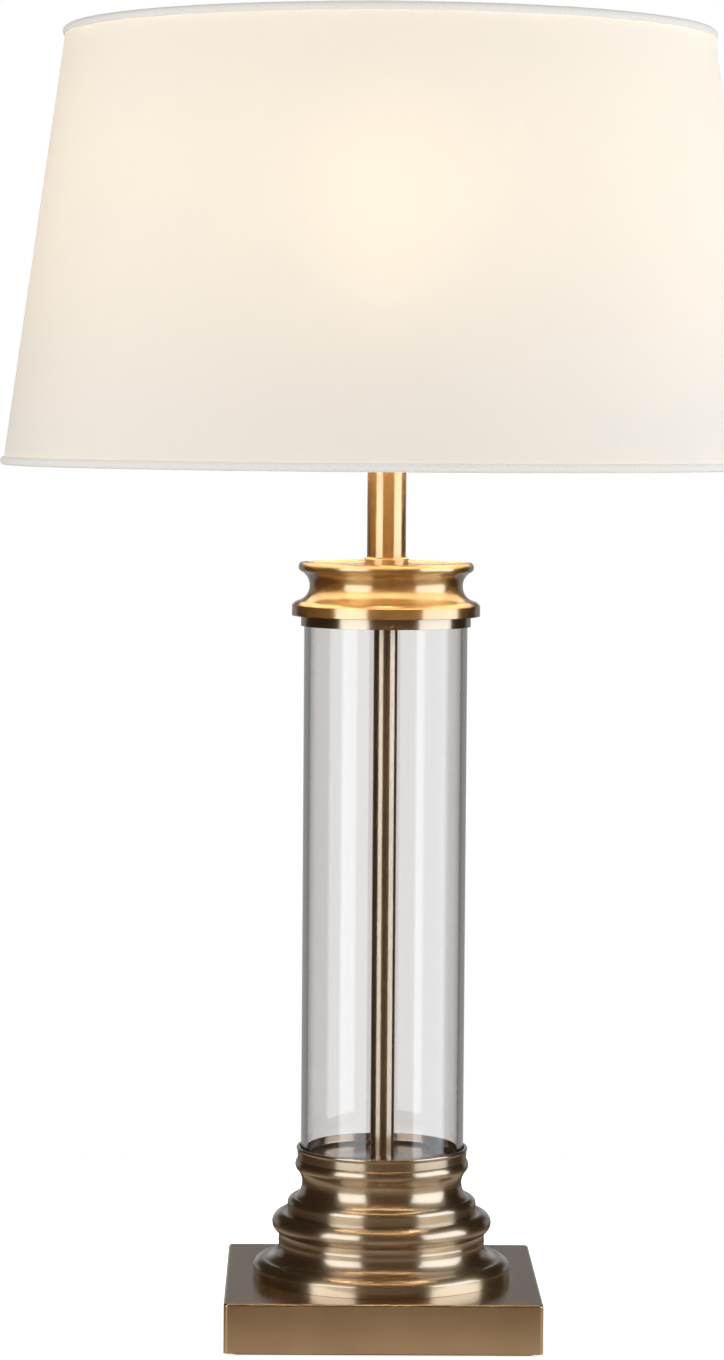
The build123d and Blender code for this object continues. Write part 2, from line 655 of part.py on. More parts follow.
def fitter_arms():
    """Three wires from the hub down to the bottom ring, coped to fit both."""
    ring_radius, ring_height = wire_centre(SHADE_BOTTOM, 1)
    start = Vector(HUB_RADIUS - WELD_OVERLAP, 0, (HUB_BOTTOM + HUB_TOP) / 2)
    end = Vector(ring_radius, 0, ring_height)
    along = end - start
    arm = Plane(origin=start, z_dir=along) * extrude(Circle(ARM_RADIUS), along.length)
    arm = arm - fitter_hub() - wire_ring(SHADE_BOTTOM, 1)
    piece = arm.solids().sort_by(SortBy.VOLUME)[-1]
    step = 360 / ARM_COUNT
    return Compound([Rot(0, 0, ARM_START_ANGLE + step * i) * piece for i in range(ARM_COUNT)])


def bulb_globe():
    """Pear-shaped glass with a straight neck and the stem that is cemented in the cap."""
    centre = BULB_BOTTOM + BULB_LENGTH - BULB_RADIUS
    below = radians(BULB_SHOULDER_ANGLE)
    stem = BULB_CAP_RADIUS - BULB_CAP_WALL - THREAD_GAP
    shoulder = (BULB_RADIUS * cos(below), centre - BULB_RADIUS * sin(below))
    side = (BULB_RADIUS, centre)
    neck_radius = BULB_CAP_RADIUS - BULB_NECK_STEP
    neck = Polyline(
        (0, BULB_CAP_BOTTOM + THREAD_GAP),
        (stem, BULB_CAP_BOTTOM + THREAD_GAP),
        (stem, BULB_CAP_TOP),
        (neck_radius, BULB_CAP_TOP),
        (neck_radius, BULB_CAP_TOP + BULB_NECK_LENGTH),
        shoulder,
    )
    dome = ThreePointArc(neck @ 1, side, (0, centre + BULB_RADIUS))
    axis = Line(dome @ 1, neck @ 0)
    return turned(*neck.edges(), dome, axis)


def bulb_insulator():
    """Cone of dark glass between the bulb's cap and its tip."""
    bottom = BULB_BOTTOM + BULB_TIP_HEIGHT
    outline = Polyline(
        (0, bottom),
        (BULB_TIP_RADIUS, bottom),
        (BULB_CAP_RADIUS - BULB_CAP_WALL, BULB_CAP_BOTTOM),
        (0, BULB_CAP_BOTTOM),
        close=True,
    )
    return turned(*outline.edges())


def write_base():
    """Everything in and under the plinth."""
    save("base_pad", base_pad())
    save("cover_plate", cover_plate())
    save("ballast_weight", ballast_weight())
    save("plinth", plinth())
    save("cord_bush", cord_bush())
    save("base_washer", ring(BASE_WASHER_RADIUS, ROD_HOLE_RADIUS, WASHER_BOTTOM, POCKET_TOP))
    save("lock_washer", lock_washer())
    save("base_nut", base_nut())


def write_column():
    """Pedestal, glass column, cap and stem, with the rod through them."""
    save("column_rod", ring(ROD_RADIUS, ROD_RADIUS - ROD_WALL, ROD_BOTTOM, ROD_TOP))
    save("pedestal_foot", pedestal_foot())
    save("pedestal_neck", pedestal_neck())
    save("lower_glass_cup", Pos(0, 0, CUP_BASE) * glass_cup(LOWER_CUP_HEIGHT, CUP_LIP_REACH))
    save("lower_glass_seal", glass_seal(GLASS_BOTTOM - SEAL_THICKNESS))
    save("glass_tube", ring(GLASS_RADIUS, GLASS_RADIUS - GLASS_WALL, GLASS_BOTTOM, GLASS_TOP))
    save("upper_glass_seal", glass_seal(GLASS_TOP))
    save("upper_glass_cup", upper_cup())
    save("column_cap", column_cap())
    washer_top = DISH_FLOOR + CAP_WASHER_THICKNESS
    save("cap_washer", ring(CAP_NUT_RADIUS, ROD_HOLE_RADIUS, DISH_FLOOR, washer_top))
    save("cap_nut", cap_nut())
    save("stem_collar", stem_collar())
    save("stem_sleeve", ring(STEM_RADIUS, STEM_RADIUS - STEM_WALL, DISH_FLOOR, HOLDER_BASE))


def write_lampholder():
    """Lampholder, its switch bar and its two shade rings."""
    save("holder_cap", holder_cap())
    save("grub_screw", grub_screw())
    save("switch_bar", switch_bar())
    save("holder_insert", holder_insert())
    save("terminal_screws", terminal_screws())
    save("centre_contact", centre_contact())
    save("screw_shell", ring(SHELL_RADIUS, SHELL_RADIUS - SHELL_WALL, INSERT_TOP, INSERT_TOP + SHELL_LENGTH))
    save("holder_skirt", holder_skirt())
    save("lower_shade_ring", lower_shade_ring())
    save("shade_clamp_ring", shade_clamp_ring())


def write_shade():
    """Cover, wire rings, trims and fitter."""
    save("shade_cover", shade_cover())
    save("shade_bottom_wire", wire_ring(SHADE_BOTTOM, 1))
    save("shade_top_wire", wire_ring(SHADE_TOP, -1))
    save("shade_bottom_trim", shade_trim(SHADE_BOTTOM, 1) - fitter_arms())
    save("shade_top_trim", shade_trim(SHADE_TOP, -1))
    save("fitter_hub", fitter_hub())
    save("fitter_arms", fitter_arms())


def write_bulb():
    """Bulb, in its glass, cap, insulator and tip."""
    cap_inner = BULB_CAP_RADIUS - BULB_CAP_WALL
    save("bulb_globe", bulb_globe())
    save("bulb_cap", ring(BULB_CAP_RADIUS, cap_inner, BULB_CAP_BOTTOM, BULB_CAP_TOP))
    save("bulb_insulator", bulb_insulator())
    save("bulb_tip", disc(BULB_TIP_RADIUS, BULB_BOTTOM, BULB_BOTTOM + BULB_TIP_HEIGHT))


write_base()
write_column()
write_lampholder()
write_shade()
write_bulb()
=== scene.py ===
import json
import logging
from collections.abc import Callable
from dataclasses import dataclass, field
from enum import Enum
from math import atan2, cos, degrees, hypot, pi, radians, sin, tan, tau
from typing import ClassVar

import bpy
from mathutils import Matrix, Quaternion, Vector

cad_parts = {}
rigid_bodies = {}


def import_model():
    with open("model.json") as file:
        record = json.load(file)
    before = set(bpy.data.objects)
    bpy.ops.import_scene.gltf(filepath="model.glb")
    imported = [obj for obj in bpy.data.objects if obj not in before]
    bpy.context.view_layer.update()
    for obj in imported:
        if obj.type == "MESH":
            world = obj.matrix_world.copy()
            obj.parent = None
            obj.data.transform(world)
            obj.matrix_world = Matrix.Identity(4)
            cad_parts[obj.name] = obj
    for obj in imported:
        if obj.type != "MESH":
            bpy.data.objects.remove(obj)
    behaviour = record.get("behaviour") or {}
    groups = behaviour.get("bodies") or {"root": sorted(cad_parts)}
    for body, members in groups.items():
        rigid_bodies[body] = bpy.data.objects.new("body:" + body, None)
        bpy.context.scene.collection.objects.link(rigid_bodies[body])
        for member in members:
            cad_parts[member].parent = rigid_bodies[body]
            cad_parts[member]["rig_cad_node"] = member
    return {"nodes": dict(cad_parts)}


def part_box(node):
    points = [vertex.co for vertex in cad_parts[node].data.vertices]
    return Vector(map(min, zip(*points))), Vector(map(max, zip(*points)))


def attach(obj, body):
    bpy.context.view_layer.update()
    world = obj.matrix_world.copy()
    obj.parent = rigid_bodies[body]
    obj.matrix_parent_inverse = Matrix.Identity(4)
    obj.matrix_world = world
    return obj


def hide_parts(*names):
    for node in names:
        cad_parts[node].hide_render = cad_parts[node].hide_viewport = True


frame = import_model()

MM = 0.001
CENTRE = Vector((0.0, 0.0, 0.0))
UP = Vector((0.0, 0.0, 1.0))
LEVEL = (1.0, 1.0, 0.0)
WHITE = (1.0, 1.0, 1.0)
WELD = 0.000002
LOG = logging.getLogger("table_lamp")

Point = tuple[float, float]
Colour = tuple[float, float, float]
Socket = bpy.types.NodeSocket


class Brushing(Enum):
    """Which way the fine lines of a brushed metal run."""

    TURNED = "round the lamp's axis"
    STRAIGHT = "level along each face"


class Thread(Enum):
    """Screw forms on the lampholder and the bulb: pitch and depth in millimetres."""

    HOLDER = (2.3, 0.7)
    BULB = (3.6, 0.9)


class Sketch:
    """Node tree of one material, built a node at a time round a Principled shader."""

    def __init__(self, name: str) -> None:
        """Start a material with only its Principled shader and output.

        Args:
            name: The material's name.
        """
        self.material = bpy.data.materials.new(name)
        self.material.use_nodes = True
        self.tree = self.material.node_tree
        self.shader = self.tree.nodes["Principled BSDF"]
        self.output = self.tree.nodes["Material Output"]

    @classmethod
    def on(cls, tree: bpy.types.NodeTree) -> "Sketch":
        """Draw in a tree that exists, such as the world's.

        Args:
            tree: The node tree.

        Returns:
            A sketch without a material of its own.
        """
        sketch = cls.__new__(cls)
        sketch.tree = tree
        return sketch

    def node(self, kind: str, **settings: object) -> bpy.types.Node:
        """Add a node and set its plain properties.

        Args:
            kind: Blender's node type without the ShaderNode prefix.
            **settings: Properties of the node.

        Returns:
            The new node.
        """
        made = self.tree.nodes.new(f"ShaderNode{kind}")
        for key, value in settings.items():
            setattr(made, key, value)
        return made

    def feed(self, socket: Socket, value: object) -> None:
        """Link an output to a socket, or set the socket to a constant."""
        if isinstance(value, Socket):
            self.tree.links.new(value, socket)
        else:
            socket.default_value = value

    def position(self) -> Socket:
        """Object coordinates of the piece."""
        return self.node("TexCoord").outputs["Object"]

    def vector(self, operation: str, first: object, second: object = (0, 0, 0)) -> Socket:
        """Vector arithmetic.

        Args:
            operation: Blender's name of the operation.
            first: First vector.
            second: Second vector.

        Returns:
            The resulting vector, or number for LENGTH and DOT_PRODUCT.
        """
        made = self.node("VectorMath", operation=operation)
        self.feed(made.inputs[0], first)
        self.feed(made.inputs[1], second)
        return made.outputs["Value" if operation in ("LENGTH", "DOT_PRODUCT") else "Vector"]

    def number(self, operation: str, first: object, second: object = 0.0) -> Socket:
        """Arithmetic on numbers.

        Args:
            operation: Blender's name of the operation.
            first: First number.
            second: Second number.

        Returns:
            The result.
        """
        made = self.node("Math", operation=operation)
        self.feed(made.inputs[0], first)
        self.feed(made.inputs[1], second)
        return made.outputs[0]

    def plus(self, first: object, second: object) -> Socket:
        """Sum of two numbers."""
        return self.number("ADD", first, second)

    def minus(self, first: object, second: object) -> Socket:
        """First number less the second."""
        return self.number("SUBTRACT", first, second)

    def times(self, first: object, second: object) -> Socket:
        """Product of two numbers."""
        return self.number("MULTIPLY", first, second)

    def most(self, first: object, second: object) -> Socket:
        """The larger of two numbers."""
        return self.number("MAXIMUM", first, second)

    def parts(self, vector: object) -> tuple[Socket, ...]:
        """The three numbers of a vector."""
        made = self.node("SeparateXYZ")
        self.feed(made.inputs[0], vector)
        return tuple(made.outputs)

    def ray(self, fact: str) -> Socket:
        """What Light Path tells about the ray that looks."""
        return self.node("LightPath").outputs[fact]

    def through(self) -> Socket:
        """1 for what is seen straight through the glass, without a reflection on the way."""
        unmirrored = self.number("LESS_THAN", self.ray("Glossy Depth"), 0.5)
        return self.times(self.ray("Is Transmission Ray"), unmirrored)

    def mirrored(self) -> Socket:
        """1 for what is seen in a reflection, and not straight through the glass."""
        return self.minus(self.ray("Is Glossy Ray"), self.through())

    def join(self, x: object, y: object, z: object) -> Socket:
        """A vector from three numbers."""
        made = self.node("CombineXYZ")
        for socket, value in zip(made.inputs, (x, y, z)):
            self.feed(socket, value)
        return made.outputs[0]

    def noise(self, vector: object, scale: float, detail: float, along: object = None) -> Socket:
        """Smooth noise between 0 and 1.

        Args:
            vector: Where to read it.
            scale: How fine it is, in lumps a metre.
            detail: How many finer layers it has.
            along: A fourth coordinate, or None for three.

        Returns:
            The noise's value.
        """
        made = self.node("TexNoise", noise_dimensions="3D" if along is None else "4D")
        self.feed(made.inputs["Vector"], vector)
        if along is not None:
            self.feed(made.inputs["W"], along)
        made.inputs["Scale"].default_value = scale
        made.inputs["Detail"].default_value = detail
        return made.outputs[0]

    def spread(self, value: object, low: float, high: float, start: float, end: float) -> Socket:
        """Map a range of values to another range, held at its ends.

        Args:
            value: The value to map.
            low: Where the old range starts.
            high: Where the old range ends.
            start: What low becomes.
            end: What high becomes.

        Returns:
            The mapped value.
        """
        made = self.node("MapRange")
        for socket, given in zip(made.inputs, (value, low, high, start, end)):
            self.feed(socket, given)
        return made.outputs[0]

    def blend(self, share: object, first: object, second: object) -> Socket:
        """Mix two colours.

        Args:
            share: How much of the second colour, from 0 to 1.
            first: First colour.
            second: Second colour.

        Returns:
            The mixed colour.
        """
        made = self.node("Mix", data_type="RGBA")
        self.feed(made.inputs["Factor"], share)
        for key, value in (("A", first), ("B", second)):
            socket = [s for s in made.inputs if s.name == key and s.type == "RGBA"][0]
            self.feed(socket, (*value, 1.0) if isinstance(value, tuple) else value)
        return [s for s in made.outputs if s.type == "RGBA"][0]

    def tone(self, value: object) -> Socket:
        """Stretch the middle of a noise's range to the whole of 0 to 1."""
        return self.spread(value, 0.3, 0.7, 0.0, 1.0)

    def mix(self, share: object, first: Socket, second: Socket) -> Socket:
        """Mix two shaders.

        Args:
            share: How much of the second shader, from 0 to 1.
            first: First shader.
            second: Second shader.

        Returns:
            The mixed shader.
        """
        made = self.node("MixShader")
        for socket, given in zip(made.inputs, (share, first, second)):
            self.feed(socket, given)
        return made.outputs[0]

    def bump(self, height: object, strength: float, depth: float) -> Socket:
        """Relief for the shader's normal.

        Args:
            height: The relief's height from 0 to 1.
            strength: How strongly it shows.
            depth: Its depth in metres.

        Returns:
            The bent normal.
        """
        made = self.node("Bump")
        self.feed(made.inputs["Height"], height)
        made.inputs["Strength"].default_value = strength
        made.inputs["Distance"].default_value = depth
        return made.outputs[0]

    def set(self, **values: object) -> None:
        """Set or link the shader's own sockets, with spaces written as underscores."""
        for key, value in values.items():
            socket = self.shader.inputs[key.replace("_", " ")]
            self.feed(socket, (*value, 1.0) if isinstance(value, tuple) else value)


@dataclass(frozen=True)
class BrushedMetal:
    """Lacquered metal with fine brushed lines, such as the lamp's antique brass."""

    name: str
    light: Colour
    dark: Colour
    brushing: Brushing
    roughness: float = 0.28
    anisotropy: float = 0.87
    lacquer: float = 1.0
    lacquer_index: float = 2.0
    lines: float = 0.15
    LATHE_LINES: ClassVar[float] = 1800.0
    LATHE_BANDS: ClassVar[float] = 110.0
    LEVEL_LINES: ClassVar[float] = 1400.0
    LEVEL_LENGTH: ClassVar[float] = 12.0
    PATINA_LUMPS: ClassVar[float] = 35.0
    BAND_SHARE: ClassVar[float] = 0.3

    def build(self) -> bpy.types.Material:
        """Make the material.

        Returns:
            The finished material.
        """
        s = Sketch(self.name)
        place = s.position()
        brush = self.turned if self.brushing is Brushing.TURNED else self.straight
        fine, broad, tangent = brush(s, place)
        patina = s.noise(place, self.PATINA_LUMPS, 4.0)
        bands = s.times(s.minus(broad, 0.5), self.BAND_SHARE)
        tone = s.plus(s.times(s.minus(fine, 0.5), self.lines), s.plus(bands, patina))
        s.set(
            Base_Color=s.blend(s.spread(tone, 0.25, 0.75, 0.0, 1.0), self.dark, self.light),
            Metallic=1.0,
            Roughness=s.spread(fine, 0.3, 0.7, self.roughness * 0.98, self.roughness * 1.03),
            Anisotropic=self.anisotropy,
            Anisotropic_Rotation=0.25,
            Tangent=s.vector("NORMALIZE", tangent),
            Coat_Weight=self.lacquer,
            Coat_Roughness=0.12,
            Coat_IOR=self.lacquer_index,
            Normal=s.bump(fine, 0.02, 0.00002),
        )
        return s.material

    def turned(self, s: Sketch, place: Socket) -> tuple[Socket, Socket, Socket]:
        """Lines round the lamp's axis, as a lathe leaves them.

        Args:
            s: The material's sketch.
            place: Where on the piece.

        Returns:
            Fine lines, broad bands and the way the lines run.
        """
        flat = s.vector("MULTIPLY", place, LEVEL)
        round_axis = s.vector("MULTIPLY", s.vector("NORMALIZE", flat), (0.7, 0.7, 0.0))
        radius = s.vector("LENGTH", flat)
        where = s.vector("ADD", round_axis, s.join(0.0, 0.0, s.times(s.parts(place)[2], self.LATHE_LINES)))
        fine = s.noise(where, 1.0, 3.0, s.times(radius, self.LATHE_LINES))
        bands = s.vector("MULTIPLY", where, (2.0, 2.0, 0.12))
        broad = s.noise(bands, 1.0, 2.0, s.times(radius, self.LATHE_BANDS))
        return fine, broad, s.vector("CROSS_PRODUCT", tuple(UP), place)

    def straight(self, s: Sketch, place: Socket) -> tuple[Socket, Socket, Socket]:
        """Level lines along a box's walls and top.

        Args:
            s: The material's sketch.
            place: Where on the piece.

        Returns:
            Fine lines, broad bands and the way the lines run.
        """
        x, y, z = s.parts(place)
        normal = s.node("NewGeometry").outputs["Normal"]
        facing_up = s.number("GREATER_THAN", s.number("ABSOLUTE", s.parts(normal)[2]), 0.7)
        upright = s.minus(1.0, facing_up)
        across = s.plus(s.times(z, upright), s.times(y, facing_up))
        inward = s.times(s.times(y, upright), self.LEVEL_LENGTH)
        where = s.join(s.times(x, self.LEVEL_LENGTH), s.times(across, self.LEVEL_LINES), inward)
        fine = s.noise(where, 1.0, 3.0)
        broad = s.noise(s.vector("MULTIPLY", where, (1.5, 0.1, 1.5)), 1.0, 2.0)
        return fine, broad, s.vector("CROSS_PRODUCT", (0.0, 0.001, 1.0), normal)


@dataclass(frozen=True)
class CastOrPlated:
    """Plain metal of an inner part: plated steel, cast iron, spun aluminium or stamped brass."""

    name: str
    colour: Colour
    metallic: float
    roughness: float
    grain: float
    relief: float

    def build(self) -> bpy.types.Material:
        """Make the material.

        Returns:
            The finished material.
        """
        s = Sketch(self.name)
        lumps = s.noise(s.position(), self.grain, 3.0)
        darker = tuple(0.75 * c for c in self.colour)
        s.set(
            Base_Color=s.blend(lumps, darker, self.colour),
            Metallic=self.metallic,
            Roughness=s.spread(lumps, 0.3, 0.7, self.roughness * 0.8, self.roughness * 1.2),
            Normal=s.bump(lumps, 0.3, self.relief),
        )
        return s.material


@dataclass(frozen=True)
class Moulded:
    """Moulded plastic, rubber or powder coat, with a fine orange peel."""

    name: str
    colour: Colour
    roughness: float
    peel: float = 900.0
    relief: float = 0.00003

    def build(self) -> bpy.types.Material:
        """Make the material.

        Returns:
            The finished material.
        """
        s = Sketch(self.name)
        p = s.position()
        peel = s.noise(p, self.peel, 2.0)
        cloud = s.noise(p, 60.0, 2.0)
        darker = tuple(0.9 * c for c in self.colour)
        s.set(
            Base_Color=s.blend(cloud, darker, self.colour),
            Roughness=s.spread(peel, 0.3, 0.7, self.roughness * 0.9, self.roughness * 1.1),
            Normal=s.bump(peel, 0.25, self.relief),
        )
        return s.material


@dataclass(frozen=True)
class ClearGlass:
    """Drawn clear glass with very slight waves along its length."""

    name: str
    colour: Colour

    def build(self) -> bpy.types.Material:
        """Make the material.

        Returns:
            The finished material.
        """
        s = Sketch(self.name)
        p = s.position()
        waves = s.noise(s.vector("MULTIPLY", p, (1.0, 1.0, 0.08)), 30.0, 1.0)
        haze = s.noise(p, 20.0, 2.0)
        s.set(
            Base_Color=s.blend(haze, tuple(0.99 * c for c in self.colour), self.colour),
            Roughness=0.0,
            Transmission_Weight=1.0,
            IOR=1.5,
            Normal=s.bump(waves, 0.03, 0.0002),
        )
        return s.material


@dataclass(frozen=True)
class LitGlass:
    """Opal glass of a lit bulb, glowing evenly."""

    name: str
    glow: Colour
    strength: float

    def build(self) -> bpy.types.Material:
        """Make the material.

        Returns:
            The finished material.
        """
        s = Sketch(self.name)
        cloud = s.noise(s.position(), 40.0, 2.0)
        s.set(
            Base_Color=s.blend(cloud, (0.86, 0.82, 0.74), (0.92, 0.89, 0.82)),
            Roughness=0.25,
            Emission_Color=self.glow,
            Emission_Strength=self.strength,
        )
        return s.material


@dataclass(frozen=True)
class ShadeCloth:
    """Fine plain weave bonded to a translucent backing, seen with the lamp lit."""

    name: str
    colour: Colour
    threads: float
    see_through: float
    forward: float
    thread_shade: float = 0.05
    overlap: float = 0.75
    THREAD_LENGTH: ClassVar[float] = 0.06
    SCATTER: ClassVar[float] = 0.95
    INDEX: ClassVar[float] = 1.25

    def build(self) -> bpy.types.Material:
        """Make the material.

        Returns:
            The finished material.
        """
        s = Sketch(self.name)
        u, v, _ = s.parts(s.node("TexCoord").outputs["UV"])
        warp = self.threads_along(s, u, v, (1.0, self.THREAD_LENGTH), 0.0)
        weft = self.threads_along(s, u, v, (self.THREAD_LENGTH, 1.0), 7.0)
        weave = s.times(s.plus(warp, weft), 0.5)
        cloud = s.noise(s.join(u, v, 3.0), 14.0, 3.0)
        darker = tuple((1.0 - self.thread_shade) * c for c in self.colour)
        colour = s.blend(s.tone(s.plus(s.times(weave, 0.7), s.times(cloud, 0.3))), darker, self.colour)
        relief = s.bump(weave, 0.35, 0.00012)
        s.set(Base_Color=colour, Roughness=0.85, Normal=relief)
        s.set(Sheen_Weight=0.15, Sheen_Roughness=0.5, Specular_IOR_Level=0.2)
        glow = s.node("BsdfTranslucent")
        s.feed(glow.inputs["Color"], colour)
        s.feed(glow.inputs["Normal"], relief)
        ahead = s.node("BsdfRefraction", distribution="GGX")
        s.feed(ahead.inputs["Color"], colour)
        s.feed(ahead.inputs["Roughness"], self.SCATTER)
        s.feed(ahead.inputs["IOR"], self.INDEX)
        soft = s.mix(self.forward, glow.outputs[0], ahead.outputs[0])
        on_overlap = s.number("GREATER_THAN", v, Shade.OVERLAP_UV / 2)
        share = s.spread(on_overlap, 0.0, 1.0, self.see_through, self.overlap)
        s.feed(s.output.inputs["Surface"], s.mix(share, s.shader.outputs[0], soft))
        return s.material

    def threads_along(self, s: Sketch, u: Socket, v: Socket, stretch: Point, layer: float) -> Socket:
        """Noise drawn out into threads.

        Args:
            s: The material's sketch.
            u: Place round the cloth.
            v: Place up the cloth.
            stretch: Threads a metre along u and v, as shares of the cloth's own.
            layer: Which slice of the noise.

        Returns:
            The threads' height.
        """
        across, up = (self.threads * share for share in stretch)
        return s.noise(s.join(s.times(u, across), s.times(v, up), layer), 1.0, 2.0)


@dataclass(frozen=True)
class Tape:
    """Woven tape or felt: short threads across and a soft nap, with a painted glow where glow is above 0."""

    name: str
    colour: Colour
    threads: float
    relief: float
    # glow: painted light, the tape emitting its own colour in place of the lit shade's light passing through
    # it.
    glow: float = 0.0
    REACH: ClassVar[float] = 0.16
    NAP: ClassVar[float] = 700.0

    def build(self) -> bpy.types.Material:
        """Make the material.

        Returns:
            The finished material.
        """
        s = Sketch(self.name)
        place = s.position()
        round_axis = s.vector("NORMALIZE", s.vector("MULTIPLY", place, LEVEL))
        round_shade = s.vector("MULTIPLY", round_axis, (self.REACH, self.REACH, 0.0))
        where = s.vector("ADD", round_shade, s.join(0.0, 0.0, s.times(s.parts(place)[2], 0.5)))
        threads = s.noise(where, self.threads, 3.0)
        nap = s.noise(place, self.NAP, 2.0)
        darker = tuple(0.86 * c for c in self.colour)
        s.set(
            Base_Color=s.blend(s.tone(threads), darker, self.colour),
            Roughness=0.9,
            Sheen_Weight=0.2,
            Specular_IOR_Level=0.2,
            Normal=s.bump(s.plus(threads, nap), 0.4, self.relief),
            # Painted glow: the tape emits its own colour though it is no lamp.
            Emission_Color=self.colour,
            Emission_Strength=self.glow,
        )
        return s.material


class Finish:
    """The lamp's finishes, built once each and shared by its pieces."""

    RECIPES = (
        BrushedMetal(
            "turned_brass",
            (0.59, 0.45, 0.30),
            (0.46, 0.33, 0.21),
            Brushing.TURNED,
            roughness=0.32,
            anisotropy=0.92,
            lacquer_index=2.2,
        ),
        # The stem's and cap's brass are warmer, more golden copies of the turned brass: painted warm light
        # from the lit shade above them.
        BrushedMetal("stem_brass_painted_warm_light", (0.58, 0.38, 0.17), (0.47, 0.30, 0.12), Brushing.TURNED, 0.28, 0.9),
        BrushedMetal(
            "cap_brass_painted_warm_light",
            (0.68, 0.45, 0.20),
            (0.55, 0.345, 0.135),
            Brushing.TURNED,
            roughness=0.36,
            anisotropy=0.94,
            lacquer_index=2.2,
        ),
        BrushedMetal(
            "sheet_brass",
            (0.66, 0.51, 0.36),
            (0.56, 0.42, 0.28),
            Brushing.STRAIGHT,
            roughness=0.22,
            anisotropy=0.8,
            lacquer=0.6,
            lacquer_index=1.5,
        ),
        CastOrPlated("plain_brass", (0.72, 0.52, 0.24), 1.0, 0.3, 200.0, 0.00002),
        CastOrPlated("bulb_metal", (0.75, 0.75, 0.76), 1.0, 0.28, 200.0, 0.00002),
        CastOrPlated("zinc_steel", (0.62, 0.63, 0.65), 1.0, 0.38, 260.0, 0.00003),
        CastOrPlated("cast_iron", (0.05, 0.05, 0.055), 0.2, 0.75, 350.0, 0.0003),
        ClearGlass("clear_glass", (0.972, 0.953, 0.945)),
        LitGlass("opal_bulb", (1.0, 0.72, 0.38), 47.0),
        Moulded("seal_rubber", (0.14, 0.12, 0.10), 0.6),
        Moulded("black_plastic", (0.02, 0.02, 0.021), 0.35),
        Moulded("cream_plastic", (0.82, 0.77, 0.64), 0.4),
        Moulded("white_wire", (0.85, 0.85, 0.83), 0.38),
        ShadeCloth("shade_fabric", (0.92, 0.885, 0.835), 1900.0, 0.09, 0.05),
        # The trim tape's last value is its painted glow, standing in for the lit shade's light seen through
        # the tape.
        Tape("trim_tape", (0.93, 0.865, 0.80), 2200.0, 0.00012, 0.14),
        Tape("felt", (0.02, 0.02, 0.02), 900.0, 0.0004),
    )

    def __init__(self) -> None:
        """Start with every recipe and no material made."""
        self.recipes = {recipe.name: recipe for recipe in self.RECIPES}
        self.made: dict[str, bpy.types.Material] = {}

    def give(self, obj: bpy.types.Object, finish: str, slot: str) -> None:
        """Dress a piece in one finish.

        Args:
            obj: The piece.
            finish: The name of a recipe.
            slot: The record's material slot it stands for; not used.
        """
        if finish not in self.made:
            self.made[finish] = self.recipes[finish].build()
        obj.data.materials.clear()
        obj.data.materials.append(self.made[finish])


class Outline:
    """Outline of a turned piece in millimetres, drawn from point to point."""

    def __init__(self, radius: float, height: float) -> None:
        """Start the outline at a radius and a height."""
        self.points: list[Vector] = [Vector((radius, height))]

    def line(self, *points: Point) -> "Outline":
        """Go on in straight runs.

        Args:
            *points: Radius and height of each corner.

        Returns:
            The outline itself.
        """
        self.points += [Vector(p) for p in points]
        return self

    def arc(self, radius: float, height: float, bulge: float, steps: int = 12) -> "Outline":
        """Go on in one arc.

        Args:
            radius: Radius of its end.
            height: Height of its end.
            bulge: How far it stands off its chord, positive to the right of the way it goes.
            steps: How many short runs it is cut into.

        Returns:
            The outline itself.
        """
        start, end = self.points[-1], Vector((radius, height))
        along = (end - start).normalized()
        side = Vector((along.y, -along.x)) * (1 if bulge > 0 else -1)
        half, depth = (end - start).length / 2, abs(bulge)
        sweep_radius = (half * half + depth * depth) / (2 * depth)
        middle = (start + end) / 2 + side * (depth - sweep_radius)
        spread = atan2(half, sweep_radius - depth)
        for step in range(1, steps + 1):
            turn = spread * (2 * step / steps - 1)
            self.points.append(middle + sweep_radius * (side * cos(turn) + along * sin(turn)))
        return self

    def close(self) -> "Outline":
        """Go straight back to the first point."""
        self.points.append(self.points[0].copy())
        return self


def deselect() -> None:
    """Deselect every object."""
    bpy.ops.object.select_all(action="DESELECT")


def pick(obj: bpy.types.Object) -> None:
    """Select one object alone and make it the active one."""
    deselect()
    obj.select_set(True)
    bpy.context.view_layer.objects.active = obj


def edit(obj: bpy.types.Object) -> None:
    """Go into edit mode on one object with everything in it selected."""
    pick(obj)
    bpy.ops.object.mode_set(mode="EDIT")
    bpy.ops.mesh.select_all(action="SELECT")


def leave_edit() -> None:
    """Go back to object mode."""
    bpy.ops.object.mode_set(mode="OBJECT")


def choose(obj: bpy.types.Object, kind: str, wanted: Callable[[object], bool]) -> None:
    """Select the parts of a mesh that pass a test and stay in edit mode.

    Args:
        obj: The object.
        kind: VERT, EDGE or FACE.
        wanted: The test.
    """
    edit(obj)
    bpy.ops.mesh.select_mode(type=kind)
    bpy.ops.mesh.select_all(action="DESELECT")
    leave_edit()
    mesh = obj.data
    for part in {"VERT": mesh.vertices, "EDGE": mesh.edges, "FACE": mesh.polygons}[kind]:
        part.select = wanted(part)
    bpy.ops.object.mode_set(mode="EDIT")


def settle(obj: bpy.types.Object) -> bpy.types.Object:
    """Put an object's place and turn into its mesh.

    Args:
        obj: The object.

    Returns:
        The same object, now at the origin.
    """
    pick(obj)
    bpy.ops.object.transform_apply(location=True, rotation=True, scale=True)
    return obj


def modify(obj: bpy.types.Object, kind: str, **settings: object) -> None:
    """Add one modifier and apply it.

    Args:
        obj: The object.
        kind: Blender's type of modifier.
        **settings: The modifier's properties.
    """
    pick(obj)
    bpy.ops.object.modifier_add(type=kind)
    made = obj.modifiers[-1]
    for key, value in settings.items():
        setattr(made, key, value)
    bpy.ops.object.modifier_apply(modifier=made.name)


